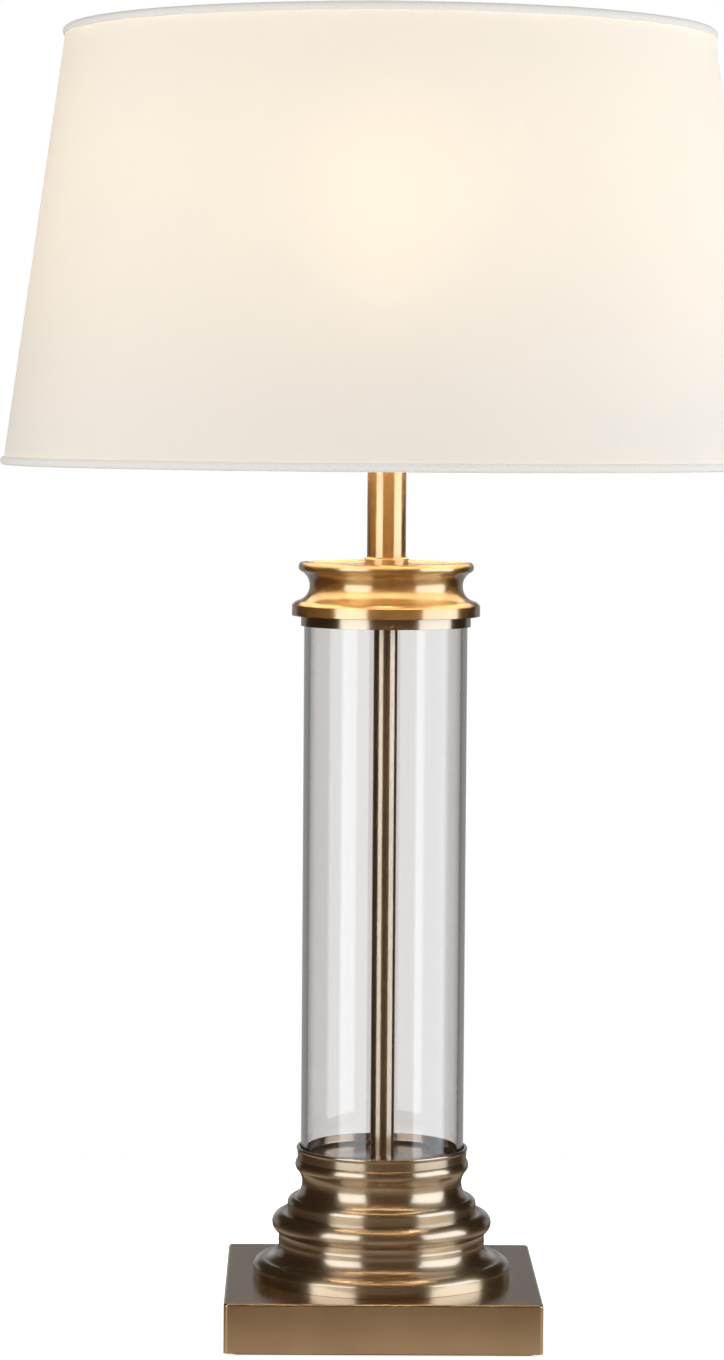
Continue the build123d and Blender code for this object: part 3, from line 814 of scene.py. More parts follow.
def soften(obj: bpy.types.Object, width: float, angle: float = 28.0) -> None:
    """Round a piece's sharp edges a little and shade it smoothly.

    Args:
        obj: The piece.
        width: How wide the rounding is, in millimetres, or 0 for none.
        angle: Edges bent by more degrees than this count as sharp.
    """
    if width > 0:
        limit = radians(angle)
        modify(obj, "BEVEL", width=width * MM, segments=2, limit_method="ANGLE", angle_limit=limit)
    pick(obj)
    bpy.ops.object.shade_smooth_by_angle(angle=radians(angle + 4))
    modify(obj, "WEIGHTED_NORMAL", mode="FACE_AREA", weight=80, keep_sharp=True)


def draw(name: str, points: list[Vector]) -> bpy.types.Object:
    """Draw a chain of edges in space, a vertex at a time.

    Args:
        name: The new object's name.
        points: Its corners in metres.

    Returns:
        The object, left in edit mode with its chain selected.
    """
    deselect()
    bpy.ops.mesh.primitive_plane_add(size=MM, location=points[0])
    obj = settle(bpy.context.object)
    obj.name = obj.data.name = name
    edit(obj)
    bpy.ops.mesh.merge(type="CENTER")
    for start, end in zip(points, points[1:]):
        bpy.ops.mesh.extrude_vertices_move(TRANSFORM_OT_translate={"value": tuple(end - start)})
    bpy.ops.mesh.select_all(action="SELECT")
    return obj


def tidy_shell() -> None:
    """Merge doubled vertices and turn the faces outwards, in edit mode."""
    bpy.ops.mesh.select_all(action="SELECT")
    bpy.ops.mesh.remove_doubles(threshold=WELD)
    bpy.ops.mesh.normals_make_consistent(inside=False)


def turn(name: str, outline: Outline, edge: float, segments: int) -> bpy.types.Object:
    """Spin an outline about the lamp's axis.

    Args:
        name: The new piece's name.
        outline: The outline, closed or with both ends on the axis.
        edge: Width of the rounding of its sharp edges in millimetres.
        segments: How many steps the spin has.

    Returns:
        The finished piece.
    """
    obj = draw(name, [Vector((p.x, 0.0, p.y)) * MM for p in outline.points])
    bpy.ops.mesh.spin(steps=segments, angle=tau, center=CENTRE, axis=UP)
    tidy_shell()
    leave_edit()
    soften(obj, edge)
    return obj


def tube(
    name: str, outer: float, inner: float, bottom: float, top: float, edge: float, segments: int
) -> bpy.types.Object:
    """Turn a plain tube, ring or washer.

    Args:
        name: The new piece's name.
        outer: Outer radius in millimetres.
        inner: Inner radius.
        bottom: Height of its lower end.
        top: Height of its upper end.
        edge: Width of the rounding of its edges.
        segments: How many steps the spin has.

    Returns:
        The finished piece.
    """
    outline = Outline(inner, bottom).line((outer, bottom), (outer, top), (inner, top)).close()
    return turn(name, outline, edge, segments)


def helix(
    name: str, radius: float, depth: float, pitch: float, bottom: float, top: float
) -> bpy.types.Object:
    """Wind a screw thread's rounded ridge round the axis.

    Args:
        name: The new piece's name.
        radius: Radius of the thread's root in millimetres.
        depth: How far the ridge stands out.
        pitch: Rise of one turn.
        bottom: Where the ridge starts.
        top: Where the ridge ends.

    Returns:
        The ridge, a closed shell.
    """
    foot = 0.7 * pitch
    turns = int((top - bottom - foot) / pitch)
    root = radius - 0.2
    section = Outline(root, bottom).line((radius, bottom)).arc(radius, bottom + foot, depth, 5)
    section.line((root, bottom + foot)).close()
    obj = draw(name, [Vector((p.x, 0.0, p.y)) * MM for p in section.points])
    bpy.ops.mesh.remove_doubles(threshold=WELD)
    leave_edit()
    rise = pitch * MM
    modify(obj, "SCREW", axis="Z", angle=tau, screw_offset=rise, iterations=turns, steps=48, render_steps=48)
    edit(obj)
    bpy.ops.mesh.select_all(action="DESELECT")
    bpy.ops.mesh.select_mode(type="EDGE")
    bpy.ops.mesh.select_non_manifold()
    bpy.ops.mesh.fill_holes(sides=0)
    bpy.ops.mesh.select_mode(type="VERT")
    tidy_shell()
    leave_edit()
    soften(obj, 0)
    return obj


def join(name: str, *objects: bpy.types.Object) -> bpy.types.Object:
    """Join pieces into one.

    Args:
        name: The joined piece's name.
        *objects: The pieces, the first of which stays.

    Returns:
        The joined piece.
    """
    deselect()
    for obj in objects:
        obj.select_set(True)
    bpy.context.view_layer.objects.active = objects[0]
    bpy.ops.object.join()
    objects[0].name = objects[0].data.name = name
    return objects[0]


@dataclass
class SubAssembly:
    """What every sub-assembly shares: its finishes and how a piece is put in place."""

    finish: Finish

    def place(self, obj: bpy.types.Object, finish: str, slot: str, body: str, node: str) -> bpy.types.Object:
        """Dress a new piece, let it ride on its body and stand for its CAD node.

        Args:
            obj: The new piece.
            finish: Its finish.
            slot: The record's material slot.
            body: The body it rides on.
            node: The CAD node it stands for.

        Returns:
            The piece.
        """
        self.finish.give(obj, finish, slot)
        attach(obj, body)
        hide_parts(node)
        LOG.info("%s rides on %s", obj.name, body)
        return obj

    def brass(
        self, obj: bpy.types.Object, node: str, finish: str = "turned_brass", body: str = "stand"
    ) -> None:
        """Place a piece of antique brass."""
        self.place(obj, finish, "antique_brass", body, node)

    def dress(self, finish: str, *nodes: str) -> None:
        """Give CAD nodes that stay a finish.

        Args:
            finish: The finish.
            *nodes: Names of the nodes.
        """
        for name in nodes:
            self.finish.give(frame["nodes"][name], finish, "")
            LOG.info("%s keeps its solid in %s", name, finish)


def span(node: str) -> tuple[float, float, float]:
    """Bottom, top and widest radius of a turned CAD node, in millimetres."""
    low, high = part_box(node)
    return low[2] / MM, high[2] / MM, high[0] / MM


@dataclass
class Plinth(SubAssembly):
    """Square sheet plinth with its felt pad, ballast and cord bush. Sizes in millimetres."""

    wall: float = 1.2
    corner: float = 2.0
    edge: float = 0.9
    rod_hole: float = 5.2
    bush_bore: float = 3.6
    bush_neck: float = 5.2
    bush_flange: float = 7.0
    bush_rim: float = 1.5

    def build(self) -> None:
        """Make the plinth and dress what is in it."""
        self.shell()
        self.bush()
        self.dress("felt", "base_pad")
        self.dress("cast_iron", "ballast_weight")
        self.dress("zinc_steel", "cover_plate", "base_washer", "lock_washer", "base_nut")

    def shell(self) -> None:
        """Fold the sheet box: rounded corners and upper edges, open below, two holes."""
        bottom, top, half = span("plinth")
        height = top - bottom
        deselect()
        bpy.ops.mesh.primitive_cube_add(size=1.0, location=(0, 0, (bottom + top) / 2 * MM))
        box = bpy.context.object
        box.scale = (2 * half * MM, 2 * half * MM, height * MM)
        settle(box)
        box.name = box.data.name = "plinth_box"
        self.round_edges(box, self.corner, upright=True)
        self.round_edges(box, self.edge, upright=False)
        choose(box, "FACE", lambda face: face.normal.z < -0.9)
        bpy.ops.mesh.inset(thickness=self.wall * MM)
        bpy.ops.mesh.extrude_region_move(TRANSFORM_OT_translate={"value": (0, 0, (height - self.wall) * MM)})
        bpy.ops.mesh.select_mode(type="VERT")
        tidy_shell()
        leave_edit()
        low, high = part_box("cord_bush")
        level = (low[2] + high[2]) / 2
        self.drill(box, self.rod_hole, (0, 0, top * MM), (0, 0, 0))
        self.drill(box, self.bush_neck, (0, half * MM, level), (pi / 2, 0, 0))
        soften(box, 0)
        self.brass(box, "plinth", "sheet_brass")

    def round_edges(self, box: bpy.types.Object, width: float, upright: bool) -> None:
        """Bevel the four upright edges of a box, or the ring of edges round its top.

        Args:
            box: The box.
            width: Width of the bevel in millimetres.
            upright: True for the corners, False for the top's edges.
        """
        ends = box.data.vertices
        top = max(v.co.z for v in ends)

        def wanted(line: bpy.types.MeshEdge) -> bool:
            """Whether the bevel takes an edge."""
            a, b = (ends[i].co.z for i in line.vertices)
            return abs(a - b) > 10 * MM if upright else min(a, b) > top - 0.01 * MM

        choose(box, "EDGE", wanted)
        bpy.ops.mesh.bevel(offset=width * MM, segments=6, affect="EDGES")
        bpy.ops.mesh.select_mode(type="VERT")
        leave_edit()

    def drill(self, obj: bpy.types.Object, radius: float, place: tuple, rotation: tuple) -> None:
        """Cut a round hole through the wall with a boolean.

        Args:
            obj: The piece to drill.
            radius: The hole's radius in millimetres.
            place: Middle of the hole in metres.
            rotation: How the drill is turned from upright.
        """
        size = {"radius": radius * MM, "depth": 4 * self.wall * MM}
        deselect()
        bpy.ops.mesh.primitive_cylinder_add(vertices=64, location=place, rotation=rotation, **size)
        drill = settle(bpy.context.object)
        modify(obj, "BOOLEAN", object=drill, operation="DIFFERENCE", solver="EXACT")
        bpy.data.objects.remove(drill)

    def bush(self) -> None:
        """Turn the flanged cord bush and lay it in the rear wall."""
        low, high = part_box("cord_bush")
        start, end, level = low[1] / MM, high[1] / MM, (low[2] + high[2]) / 2
        wall, bore, neck, flange = end - self.bush_rim, self.bush_bore, self.bush_neck, self.bush_flange
        outline = Outline(bore, start).line((neck, start), (neck, wall), (flange, wall))
        outline.arc(bore + 0.3, end, 0.5, 8).line((bore, end - 0.4)).close()
        bush = turn("cord_bush_ring", outline, 0.1, 64)
        bush.rotation_euler = (-pi / 2, 0, 0)
        bush.location = (0, 0, level)
        self.place(settle(bush), "black_plastic", "black_plastic", "stand", "cord_bush")


@dataclass
class Pedestal(SubAssembly):
    """The two brass spinnings: a foot and, on it, a neck. Sizes in millimetres."""

    wall: float = 1.5
    rod_hole: float = 5.2
    cup_radius: float = 35.4
    neck_flange: float = 39.5
    foot_radius: float = 54.0
    foot_core: float = 41.7
    foot_band: float = 4.3
    foot_shoulder: float = 7.3
    foot_hollow: float = 14.6
    foot_waist: float = 18.4
    neck_band: float = 4.8
    neck_shoulder: float = 7.3
    neck_hollow: float = 18.7
    hollow_depth: float = 2.4

    def build(self) -> None:
        """Make both spinnings."""
        self.foot()
        self.neck()

    def foot(self) -> None:
        """Straight band, soft shoulder, hollow, waist and round bead."""
        z, top, _ = span("pedestal_foot")
        reach, core, skirt = self.neck_flange, self.foot_core, self.foot_radius - self.wall
        outline = Outline(self.foot_radius, z).line((self.foot_radius, z + self.foot_band))
        outline.arc(reach + 10.3, z + self.foot_shoulder, 0.8, 10)
        outline.arc(reach + 3.7, z + self.foot_hollow, -2.5, 16)
        outline.arc(reach + 3.9, z + self.foot_waist, -0.25, 6).arc(reach + 0.8, top, 4.0, 20)
        outline.line((self.rod_hole, top), (self.rod_hole, top - self.wall), (core, top - self.wall))
        outline.line((core, z + self.foot_shoulder + 3.0), (skirt, z + 2.0), (skirt, z)).close()
        self.brass(turn("foot_spinning", outline, 0.15, 192), "pedestal_foot")

    def neck(self) -> None:
        """Flange, shoulder, hollow and bead under the glass cup."""
        z, top, _ = span("pedestal_neck")
        cup, flange, skirt = self.cup_radius, self.neck_flange, self.neck_flange - self.wall
        core = cup - self.hollow_depth - self.wall
        outline = Outline(flange, z).line((flange, z + self.neck_band))
        outline.arc(cup + 0.9, z + self.neck_shoulder, 0.95, 10)
        outline.arc(cup, z + self.neck_hollow, -self.hollow_depth, 16).arc(cup, top, 0.95, 12)
        outline.line((self.rod_hole, top), (self.rod_hole, top - self.wall), (core, top - self.wall))
        outline.line((core, z + self.neck_shoulder), (skirt, z + 3.3), (skirt, z)).close()
        self.brass(turn("neck_spinning", outline, 0.15, 192), "pedestal_neck")


@dataclass
class GlassColumn(SubAssembly):
    """Glass tube between two cups, with the threaded rod inside. Sizes in millimetres."""

    wall: float = 2.5
    cup_radius: float = 35.4
    cup_wall: float = 0.9
    rod_hole: float = 5.2
    rod_wall: float = 1.25
    lip: float = 0.4
    rim: float = 1.9

    def build(self) -> None:
        """Make the tube, the cups and the rod, and dress the seals."""
        bottom, top, radius = span("glass_tube")
        glass = tube("glass_column", radius, radius - self.wall, bottom, top, 0.5, 224)
        self.place(glass, "clear_glass", "clear_glass", "stand", "glass_tube")
        bottom, top, radius = span("column_rod")
        rod = tube("column_rod_tube", radius, radius - self.rod_wall, bottom, top, 0.2, 96)
        self.brass(rod, "column_rod")
        self.cup("lower_cup", "lower_glass_cup", 1, self.lip)
        self.cup("upper_cup", "upper_glass_cup", -1, 0.0)
        self.dress("seal_rubber", "lower_glass_seal", "upper_glass_seal")

    def cup(self, name: str, node: str, way: int, lip: float) -> None:
        """Press one cup.

        Args:
            name: The new piece's name.
            node: The CAD node it stands for.
            way: 1 where it opens upwards, -1 where it opens downwards.
            lip: How far its rim is rolled out.
        """
        low, high, _ = span(node)
        floor, mouth = (low, high) if way > 0 else (high, low)
        radius, inner = self.cup_radius, self.cup_radius - self.cup_wall
        outline = Outline(self.rod_hole, floor).line((radius, floor), (radius, mouth - self.rim * way))
        if lip:
            outline.arc(radius + lip, mouth - 0.9, -0.1, 4).arc(radius + lip - 0.25, mouth, 0.12, 4)
        else:
            outline.line((radius, mouth))
        outline.line((inner, mouth), (inner, floor + way), (self.rod_hole, floor + way)).close()
        self.brass(turn(name, outline, 0.1, 192), node)


@dataclass
class CapAndStem(SubAssembly):
    """Moulded cap on the column and the stem above it. Sizes in millimetres."""

    cup_radius: float = 35.4
    rod_hole: float = 5.2
    stem_wall: float = 0.8
    flange_band: float = 4.3
    shoulder: float = 6.4
    hollow: float = 18.6
    hollow_depth: float = 4.0
    dish_depth: float = 0.8
    wall: float = 1.8
    socket_depth: float = 2.7

    def build(self) -> None:
        """Make the cap, collar and stem, and dress the hidden nut and washer."""
        self.cap()
        low, high, outer = span("stem_collar")
        inner = span("stem_sleeve")[2]
        collar = Outline(inner, low).line((outer, low), (outer, high - 1.2)).arc(inner + 0.35, high, 0.35, 6)
        collar.line((inner, high)).close()
        # The collar and stem take the stem's brass, painted warmer for the lit shade's light.
        self.brass(turn("stem_foot_ring", collar, 0.1, 96), "stem_collar", "stem_brass_painted_warm_light")
        low, high, outer = span("stem_sleeve")
        stem = tube("stem_tube", outer, outer - self.stem_wall, low, high, 0.15, 128)
        self.brass(stem, "stem_sleeve", "stem_brass_painted_warm_light")
        self.dress("zinc_steel", "cap_washer", "cap_nut")

    def cap(self) -> None:
        """Flange, hollow, rolled lip and shallow dish."""
        z, top, flange = span("column_cap")
        throat, lip, seat = flange - 3.3, flange - 3.7, self.cup_radius + 0.1
        floor, core, inside = top - self.dish_depth, throat - self.hollow_depth - 5.9, z + self.socket_depth
        outline = Outline(flange, z).line((flange, z + self.flange_band))
        outline.arc(throat, z + self.shoulder, 0.45, 8)
        outline.arc(throat, z + self.hollow, -self.hollow_depth, 20).arc(lip, top, 0.8, 10)
        outline.arc(lip - 3.0, floor, -0.2, 5)
        outline.line((self.rod_hole, floor), (self.rod_hole, floor - self.wall), (core, floor - self.wall))
        outline.line((core, inside), (seat, inside), (seat, z)).close()
        # The cap's brass is painted more golden, standing in for the lit shade's warm light.
        self.brass(turn("cap_casting", outline, 0.2, 192), "column_cap", "cap_brass_painted_warm_light")


@dataclass
class Lampholder(SubAssembly):
    """Metal lampholder with a push bar and two shade rings. Sizes in millimetres."""

    wall: float = 2.0
    mouth: float = 14.6
    grips: int = 32
    grip_depth: float = 0.9
    flange_height: float = 2.0

    def build(self) -> None:
        """Make the skirt and rings, and dress the cap, the bar and what is inside."""
        self.skirt()
        self.lower_ring()
        self.clamp_ring()
        self.dress("turned_brass", "holder_cap")
        self.dress("black_plastic", "switch_bar")
        self.dress("cream_plastic", "holder_insert")
        self.dress("zinc_steel", "grub_screw", "terminal_screws")
        self.dress("plain_brass", "centre_contact", "screw_shell")

    def skirt(self) -> None:
        """Threaded tube with an inward rim at its mouth."""
        low, high, outer = span("holder_skirt")
        pitch, depth = Thread.HOLDER.value
        root, inner, rim = outer - depth, outer - self.wall, high - 3.0
        outline = Outline(inner, low).line((outer, low), (outer, low + 3.0), (root, low + 3.6))
        outline.line((root, high - 0.8), (root - 0.6, high), (self.mouth, high), (self.mouth, rim))
        outline.line((inner, rim)).close()
        skirt = turn("skirt_tube", outline, 0.1, 96)
        ridge = helix("skirt_thread", root, depth, pitch, low + 4.0, high - 0.6)
        self.brass(join("holder_skirt_shell", skirt, ridge), "holder_skirt")

    def lower_ring(self) -> None:
        """Flange that the shade's hub rests on."""
        low, high, outer = span("lower_shade_ring")
        inner = span("holder_skirt")[2]
        ring = Outline(inner, low).line((outer - 1.2, low)).arc(outer, high - 1.0, -0.4, 5)
        ring.line((outer, high), (inner, high)).close()
        self.brass(turn("shade_rest_ring", ring, 0.15, 96), "lower_shade_ring")

    def clamp_ring(self) -> None:
        """Ring that screws down on the hub, with grips cut round its upper part."""
        low, high, outer = span("shade_clamp_ring")
        inner, lip, grip = span("holder_skirt")[2] + 0.08, low + self.flange_height, outer - self.grip_depth
        ring = Outline(inner, low).line((outer, low), (outer, lip), (grip, lip + 0.3), (grip, high - 0.5))
        ring.line((outer - 1.4, high), (inner + 0.4, high), (inner, high - 0.4)).close()
        obj = turn("shade_clamp_nut", ring, 0, self.grips * 6)

        def wanted(vertex: bpy.types.MeshVertex) -> bool:
            """Whether a vertex lies in a groove between two grips."""
            x, y, z = vertex.co / MM
            part = degrees(atan2(y, x)) * self.grips / 360 % 1
            return hypot(x, y) > outer - 1.5 and z > lip + 0.1 and 0.3 < part < 0.7

        choose(obj, "VERT", wanted)
        bpy.ops.transform.resize(value=(0.965, 0.965, 1.0), center_override=CENTRE)
        leave_edit()
        soften(obj, 0)
        self.brass(obj, "shade_clamp_ring", body="clamp_ring")


@dataclass
class Bulb(SubAssembly):
    """Lit opal bulb with a rolled screw cap. Sizes in millimetres."""

    cap_wall: float = 0.9
    neck: float = 13.0
    globe: float = 30.0

    def build(self) -> None:
        """Blow the glass, roll the cap and dress the insulator and tip."""
        low, high, _ = span("bulb_globe")
        cap_low, cap_high, cap_radius = span("bulb_cap")
        centre, sleeve = high - self.globe, cap_radius - self.cap_wall - 0.1
        angle = radians(35)
        shoulder = (self.globe * cos(angle), centre - self.globe * sin(angle))
        outline = Outline(0, low).line((sleeve, low), (sleeve, cap_high), (self.neck, cap_high))
        outline.line((self.neck, cap_high + 4)).arc(*shoulder, -2.2, 14)
        outline.arc(self.globe, centre, 1.4, 8).arc(0, high, self.globe * (1 - cos(pi / 4)), 24)
        self.place(turn("bulb_glass", outline, 0, 96), "opal_bulb", "opal_bulb", "bulb", "bulb_globe")
        pitch, depth = Thread.BULB.value
        root, crown = cap_radius - depth, cap_high - 2.0
        inner = root - 0.5
        shell = Outline(inner, cap_low).line((root - 0.2, cap_low), (root, cap_low + 0.6), (root, crown))
        shell.line((cap_radius, cap_high - 0.8), (cap_radius, cap_high), (inner, cap_high)).close()
        thread = helix("cap_thread", root, depth, pitch, cap_low + 0.8, crown)
        cap = join("bulb_screw_cap", turn("cap_shell", shell, 0.1, 96), thread)
        self.place(cap, "bulb_metal", "bulb_metal", "bulb", "bulb_cap")
        self.dress("black_plastic", "bulb_insulator")
        self.dress("bulb_metal", "bulb_tip")


@dataclass
class Shade(SubAssembly):
    """Tapered fabric drum on a three-armed fitter. Sizes in millimetres."""

    bottom_radius: float = 160.0
    top_radius: float = 134.3
    tape: float = 0.4
    cloth: float = 0.8
    trim_height: float = 3.4
    wire: float = 1.5
    seam_width: float = 8.0
    seam_lift: float = 0.35
    OVERLAP_UV: ClassVar[float] = 2.0
    bottom: float = field(init=False)
    top: float = field(init=False)

    def __post_init__(self) -> None:
        """Read the shade's levels from the CAD trims."""
        self.bottom = span("shade_bottom_trim")[0]
        self.top = span("shade_top_trim")[1]

    def build(self) -> None:
        """Make the cloth, trims and wire rings, and dress the fitter."""
        cloth = self.cover()
        lower = self.trim("bottom_rolled_trim", "shade_bottom_trim", 1)
        upper = self.trim("top_rolled_trim", "shade_top_trim", -1)
        self.ring_wire("bottom_ring_wire", "shade_bottom_wire")
        self.ring_wire("top_ring_wire", "shade_top_wire")
        self.hub()
        self.dress("white_wire", "fitter_arms")

    def radius_at(self, height: float) -> float:
        """Radius of the cloth's middle at a height."""
        share = (height - self.bottom) / (self.top - self.bottom)
        outside = self.bottom_radius + (self.top_radius - self.bottom_radius) * share
        return outside - self.tape - self.cloth / 2

    def cover(self) -> bpy.types.Object:
        """Spin the cloth, lay its overlap at the back and unroll it flat for the weave.

        Returns:
            The cloth, one sheet without thickness.
        """
        rows = 36
        low, high = self.bottom + 0.5, self.top - 0.5
        heights = [low + (high - low) * i / rows for i in range(rows + 1)]
        obj = draw("shade_cloth", [Vector((self.radius_at(h), 0.0, h)) * MM for h in heights])
        bpy.ops.mesh.spin(steps=360, angle=tau, center=CENTRE, axis=UP)
        tidy_shell()
        leave_edit()
        seam = self.seam_width / self.bottom_radius
        choose(obj, "FACE", lambda face: abs(atan2(face.center.x, face.center.y)) < seam / 2)
        bpy.ops.mesh.duplicate()
        bpy.ops.transform.shrink_fatten(value=self.seam_lift * MM)
        bpy.ops.mesh.select_mode(type="VERT")
        leave_edit()
        self.unroll(obj)
        soften(obj, 0)
        return self.place(obj, "shade_fabric", "shade_fabric", "shade", "shade_cover")

    def unroll(self, obj: bpy.types.Object) -> None:
        """Give the cloth a map in metres, along its round and up its slant.

        Args:
            obj: The cloth.
        """
        mesh = obj.data
        layer = mesh.uv_layers.new(name="cloth")
        mean = (self.bottom_radius + self.top_radius) / 2 * MM
        for face in mesh.polygons:
            middle = atan2(face.center.x, -face.center.y)
            lift = self.OVERLAP_UV if face.select else 0.0
            for corner in face.loop_indices:
                place = mesh.vertices[mesh.loops[corner].vertex_index].co
                angle = atan2(place.x, -place.y)
                angle += tau * round((middle - angle) / tau)
                layer.data[corner].uv = (angle * mean, place.z + lift)

    def trim(self, name: str, node: str, way: int) -> bpy.types.Object:
        """Roll the tape over an edge of the cloth and its wire.

        Args:
            name: The new piece's name.
            node: The CAD node it stands for.
            way: 1 at the bottom edge, -1 at the top.

        Returns:
            The trim.
        """
        edge = self.bottom if way > 0 else self.top
        far = edge + way * self.trim_height
        outside = [self.radius_at(h) + self.cloth / 2 for h in (edge, far)]
        back = outside[0] - 2 * self.tape - self.cloth - 2 * self.wire
        outline = Outline(outside[0] + 0.1, edge + 0.35 * way).arc(outside[1] + 0.1, far, 0.75 * way, 10)
        outline.line((outside[1] - self.cloth, far), (back + 0.3, edge + way * (self.trim_height - 0.3)))
        outline.arc(back + 0.3, edge + 0.5 * way, 0.5 * way, 8)
        outline.line((back + 0.9, edge), (outside[0] - 0.5, edge)).close()
        obj = turn(name, outline, 0.2, 360)
        ripple = bpy.data.textures.new(f"{name}_ripple", "CLOUDS")
        ripple.noise_scale = 0.004
        modify(obj, "DISPLACE", texture=ripple, strength=0.00025, mid_level=0.5)
        soften(obj, 0)
        return self.place(obj, "trim_tape", "trim_tape", "shade", node)

    def ring_wire(self, name: str, node: str) -> None:
        """Bend one round wire ring.

        Args:
            name: The new piece's name.
            node: The CAD node it stands for.
        """
        low, high, outer = span(node)
        middle = (low + high) / 2
        section = Outline(outer, middle).arc(outer - 2 * self.wire, middle, self.wire, 10)
        section.arc(outer, middle, self.wire, 10)
        obj = turn(name, section, 0, 240)
        self.place(obj, "white_wire", "white_wire", "shade", node)

    def hub(self) -> None:
        """Stamp the fitter's flat ring."""
        low, high, outer = span("fitter_hub")
        inner = span("holder_skirt")[2] + 1.4
        ring = tube("fitter_ring", outer, inner, low, high, 0.35, 96)
        self.place(ring, "white_wire", "white_wire", "shade", "fitter_hub")


@dataclass(frozen=True)
class Softbox:
    """One upright soft light: where it stands round the lamp and how bright it looks."""

    name: str
    azimuth: float
    sweep: float
    low: float
    high: float
    brightness: float
    colour: Colour
    distance: float = 1.3

    def build(self) -> None:
        """Hang the light, facing the lamp's axis."""
        angle = radians(self.azimuth)
        width = 2 * self.distance * tan(radians(self.sweep / 2))
        height = self.high - self.low
        place = Vector((self.distance * sin(angle), -self.distance * cos(angle), (self.low + self.high) / 2))
        deselect()
        bpy.ops.object.light_add(type="AREA", location=place, rotation=(pi / 2, 0, angle))
        lamp = bpy.context.object
        lamp.name = self.name
        lamp.data.shape = "RECTANGLE"
        lamp.data.size, lamp.data.size_y = width, height
        lamp.data.energy = self.brightness * pi * width * height
        lamp.data.color = self.colour
        lamp.visible_camera = False
        lamp.data.use_nodes = True
        s = Sketch.on(lamp.data.node_tree)
        behind_glass = s.number("GREATER_THAN", s.ray("Transmission Depth"), 1.5)
        straight = s.times(behind_glass, s.number("LESS_THAN", s.ray("Glossy Depth"), 0.5))
        s.feed(s.tree.nodes["Emission"].inputs["Strength"], s.minus(1.0, straight))


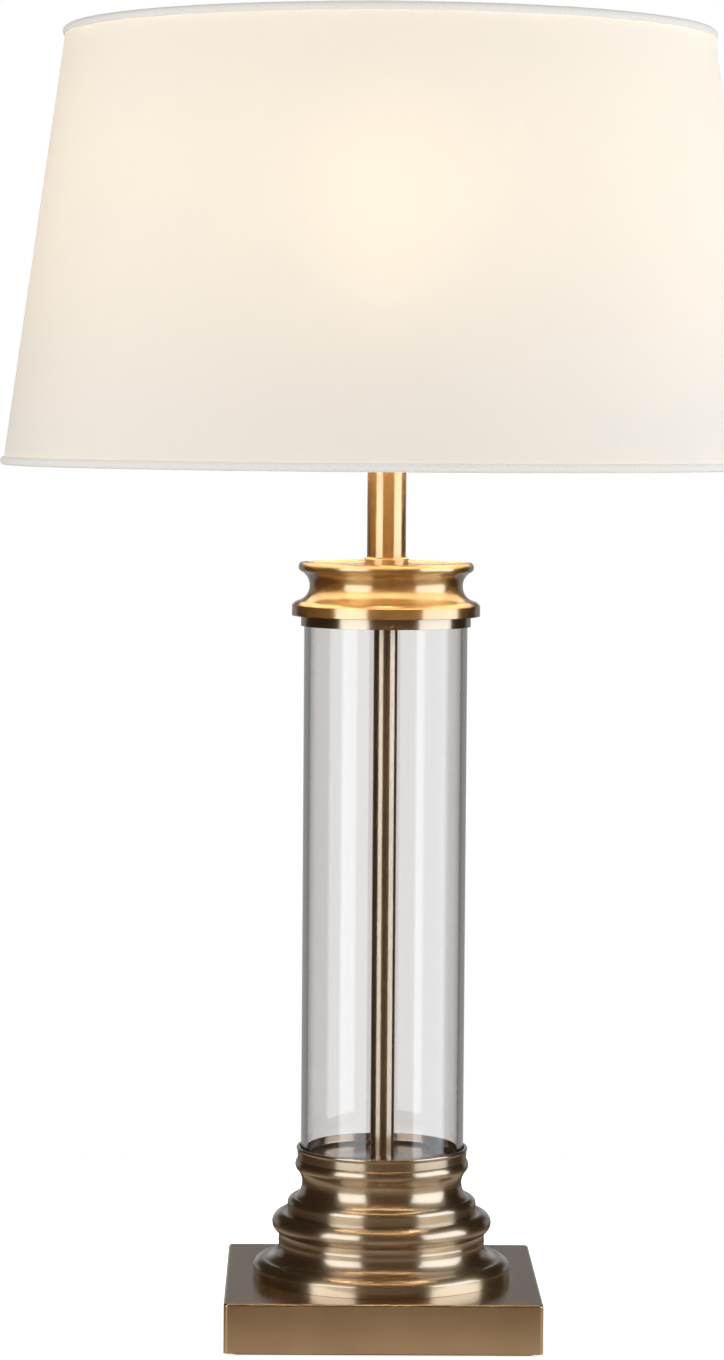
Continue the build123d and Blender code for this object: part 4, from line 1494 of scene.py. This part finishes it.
@dataclass
class Studio:
    """Pale floor, soft lights, pale surroundings and the camera."""

    softboxes: tuple[Softbox, ...] = (
        Softbox("left_softbox", -44.5, 41.0, -0.2, 1.05, 2.35, (0.90, 0.965, 1.0)),
        Softbox("right_softbox", 70.5, 53.0, -0.2, 1.05, 2.45, (0.85, 0.94, 1.0)),
    )
    ambient: float = 0.3
    front: float = 0.10
    room: Colour = (1.0, 0.67, 0.40)
    side: float = 0.55
    back: float = 0.9
    column: float = 0.76
    limb: float = 0.78
    floor_radius: float = 0.42
    floor_lift: float = 0.8
    # floor_painted_pool and floor_painted_shade are painted light and shade that only reflections see.
    floor_painted_pool: float = 0.42
    floor_white: Colour = (0.84, 0.84, 0.84)
    floor_painted_shade: Colour = (0.16, 0.125, 0.085)
    floor_glow: Colour = (1.0, 0.84, 0.66)
    lens: float = 116.13
    distance: float = 1.825
    height: float = 0.3846
    pitch: float = 3.557
    roll: float = 0.41
    yaw: float = 0.307
    plinth_turn: float = 1.04

    def build(self) -> None:
        """Make everything that isn't the lamp."""
        self.camera()
        self.floor()
        self.surroundings()
        for softbox in self.softboxes:
            softbox.build()
        bpy.context.scene.view_settings.view_transform = "Standard"

    def camera(self) -> None:
        """Stand the camera where the photograph was taken from."""
        turned = Quaternion(UP, -radians(self.plinth_turn))
        aim = turned @ Quaternion(UP, radians(self.yaw)) @ Quaternion((1, 0, 0), radians(90 - self.pitch))
        aim = aim @ Quaternion(UP, radians(self.roll))
        deselect()
        place = turned @ Vector((0.0, -self.distance, self.height))
        bpy.ops.object.camera_add(location=place, rotation=aim.to_euler())
        camera = bpy.context.object
        camera.data.lens = self.lens
        camera.data.sensor_width = 36.0
        bpy.context.scene.camera = camera

    def floor(self) -> None:
        """Lay the pale floor, which keeps the lamp's shadow and fades into the backdrop. In reflections it
        shows painted shade, a dark warm floor, and a painted pool of warm light round the lamp.
        """
        deselect()
        size = {"vertices": 128, "radius": self.floor_radius, "fill_type": "NGON"}
        bpy.ops.mesh.primitive_circle_add(location=(0, 0, -0.2 * MM), **size)
        floor = bpy.context.object
        floor.name = "studio_floor"
        s = Sketch("pale_floor")
        mirrored = s.mirrored()
        # Painted shade: reflections see the floor dark and warm, while the camera sees it pale.
        colour = s.blend(mirrored, self.floor_white, self.floor_painted_shade)
        s.set(Base_Color=colour, Roughness=0.9, Specular_IOR_Level=0.0)
        place = s.position()
        reach = s.vector("LENGTH", place)
        rim = s.spread(reach, 0.5 * self.floor_radius, self.floor_radius, self.floor_lift, 1.0)
        shown = s.most(s.ray("Is Camera Ray"), s.through())
        # Painted light: a warm pool round the lamp and a dim stretch in front, emitted only for reflections.
        near = s.spread(reach, 0.1, 0.2, self.floor_painted_pool, 0.0)
        ahead = s.spread(s.parts(place)[1], -0.16, -0.02, self.front, 0.0)
        gloss = s.times(mirrored, s.most(near, ahead))
        lift = s.node("Emission")
        s.feed(lift.inputs["Color"], s.blend(mirrored, WHITE, self.floor_glow))
        s.feed(lift.inputs["Strength"], s.most(s.times(shown, rim), gloss))
        both = s.node("AddShader")
        s.feed(both.inputs[0], s.shader.outputs[0])
        s.feed(both.inputs[1], lift.outputs[0])
        s.feed(s.output.inputs["Surface"], both.outputs[0])
        s.material.cycles.emission_sampling = "NONE"
        floor.data.materials.append(s.material)

    def surroundings(self) -> None:
        """White backdrop to look at, with a dim room in front of it for gloss."""
        world = bpy.data.worlds.new("studio")
        world.use_nodes = True
        world.cycles.sampling_method = "NONE"
        bpy.context.scene.world = world
        s = Sketch.on(world.node_tree)
        where = s.node("TexCoord").outputs["Generated"]
        level = s.vector("NORMALIZE", s.vector("MULTIPLY", where, LEVEL))
        away, up = s.parts(level)[1], s.parts(where)[2]
        low = s.spread(up, 0.15, 0.30, 0.45, 0.0)
        edge = s.times(s.spread(away, 0.70, 0.82, 0.0, self.side), low)
        behind = s.most(edge, s.times(s.spread(away, 0.90, 0.98, 0.0, self.back), low))
        gloss = s.most(behind, s.spread(away, -0.9, -0.2, self.front, 0.4 * self.front))
        along = s.number("ABSOLUTE", away)
        centre = s.spread(along, 0.988, 0.996, self.limb, self.column)
        glass = s.times(s.through(), s.most(centre, s.spread(along, 0.5, 0.7, self.column, 0.0)))
        mirrored = s.mirrored()
        strength = s.most(s.ray("Is Camera Ray"), s.times(mirrored, gloss))
        strength = s.most(s.most(strength, glass), s.times(s.ray("Is Diffuse Ray"), self.ambient))
        ground = s.tree.nodes["Background"].inputs
        s.feed(ground["Strength"], strength)
        ahead = s.times(mirrored, s.spread(behind, 0.0, 2 * self.front, 1.0, 0.0))
        s.feed(ground["Color"], s.blend(ahead, WHITE, self.room))


def main() -> None:
    """Build the studio and every sub-assembly in order."""
    logging.basicConfig(level=logging.INFO, format="%(message)s")
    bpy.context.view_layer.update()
    Studio().build()
    finish = Finish()
    for sub_assembly in (Plinth, Pedestal, GlassColumn, CapAndStem, Lampholder, Bulb, Shade):
        sub_assembly(finish).build()


if __name__ == "__main__":
    main()
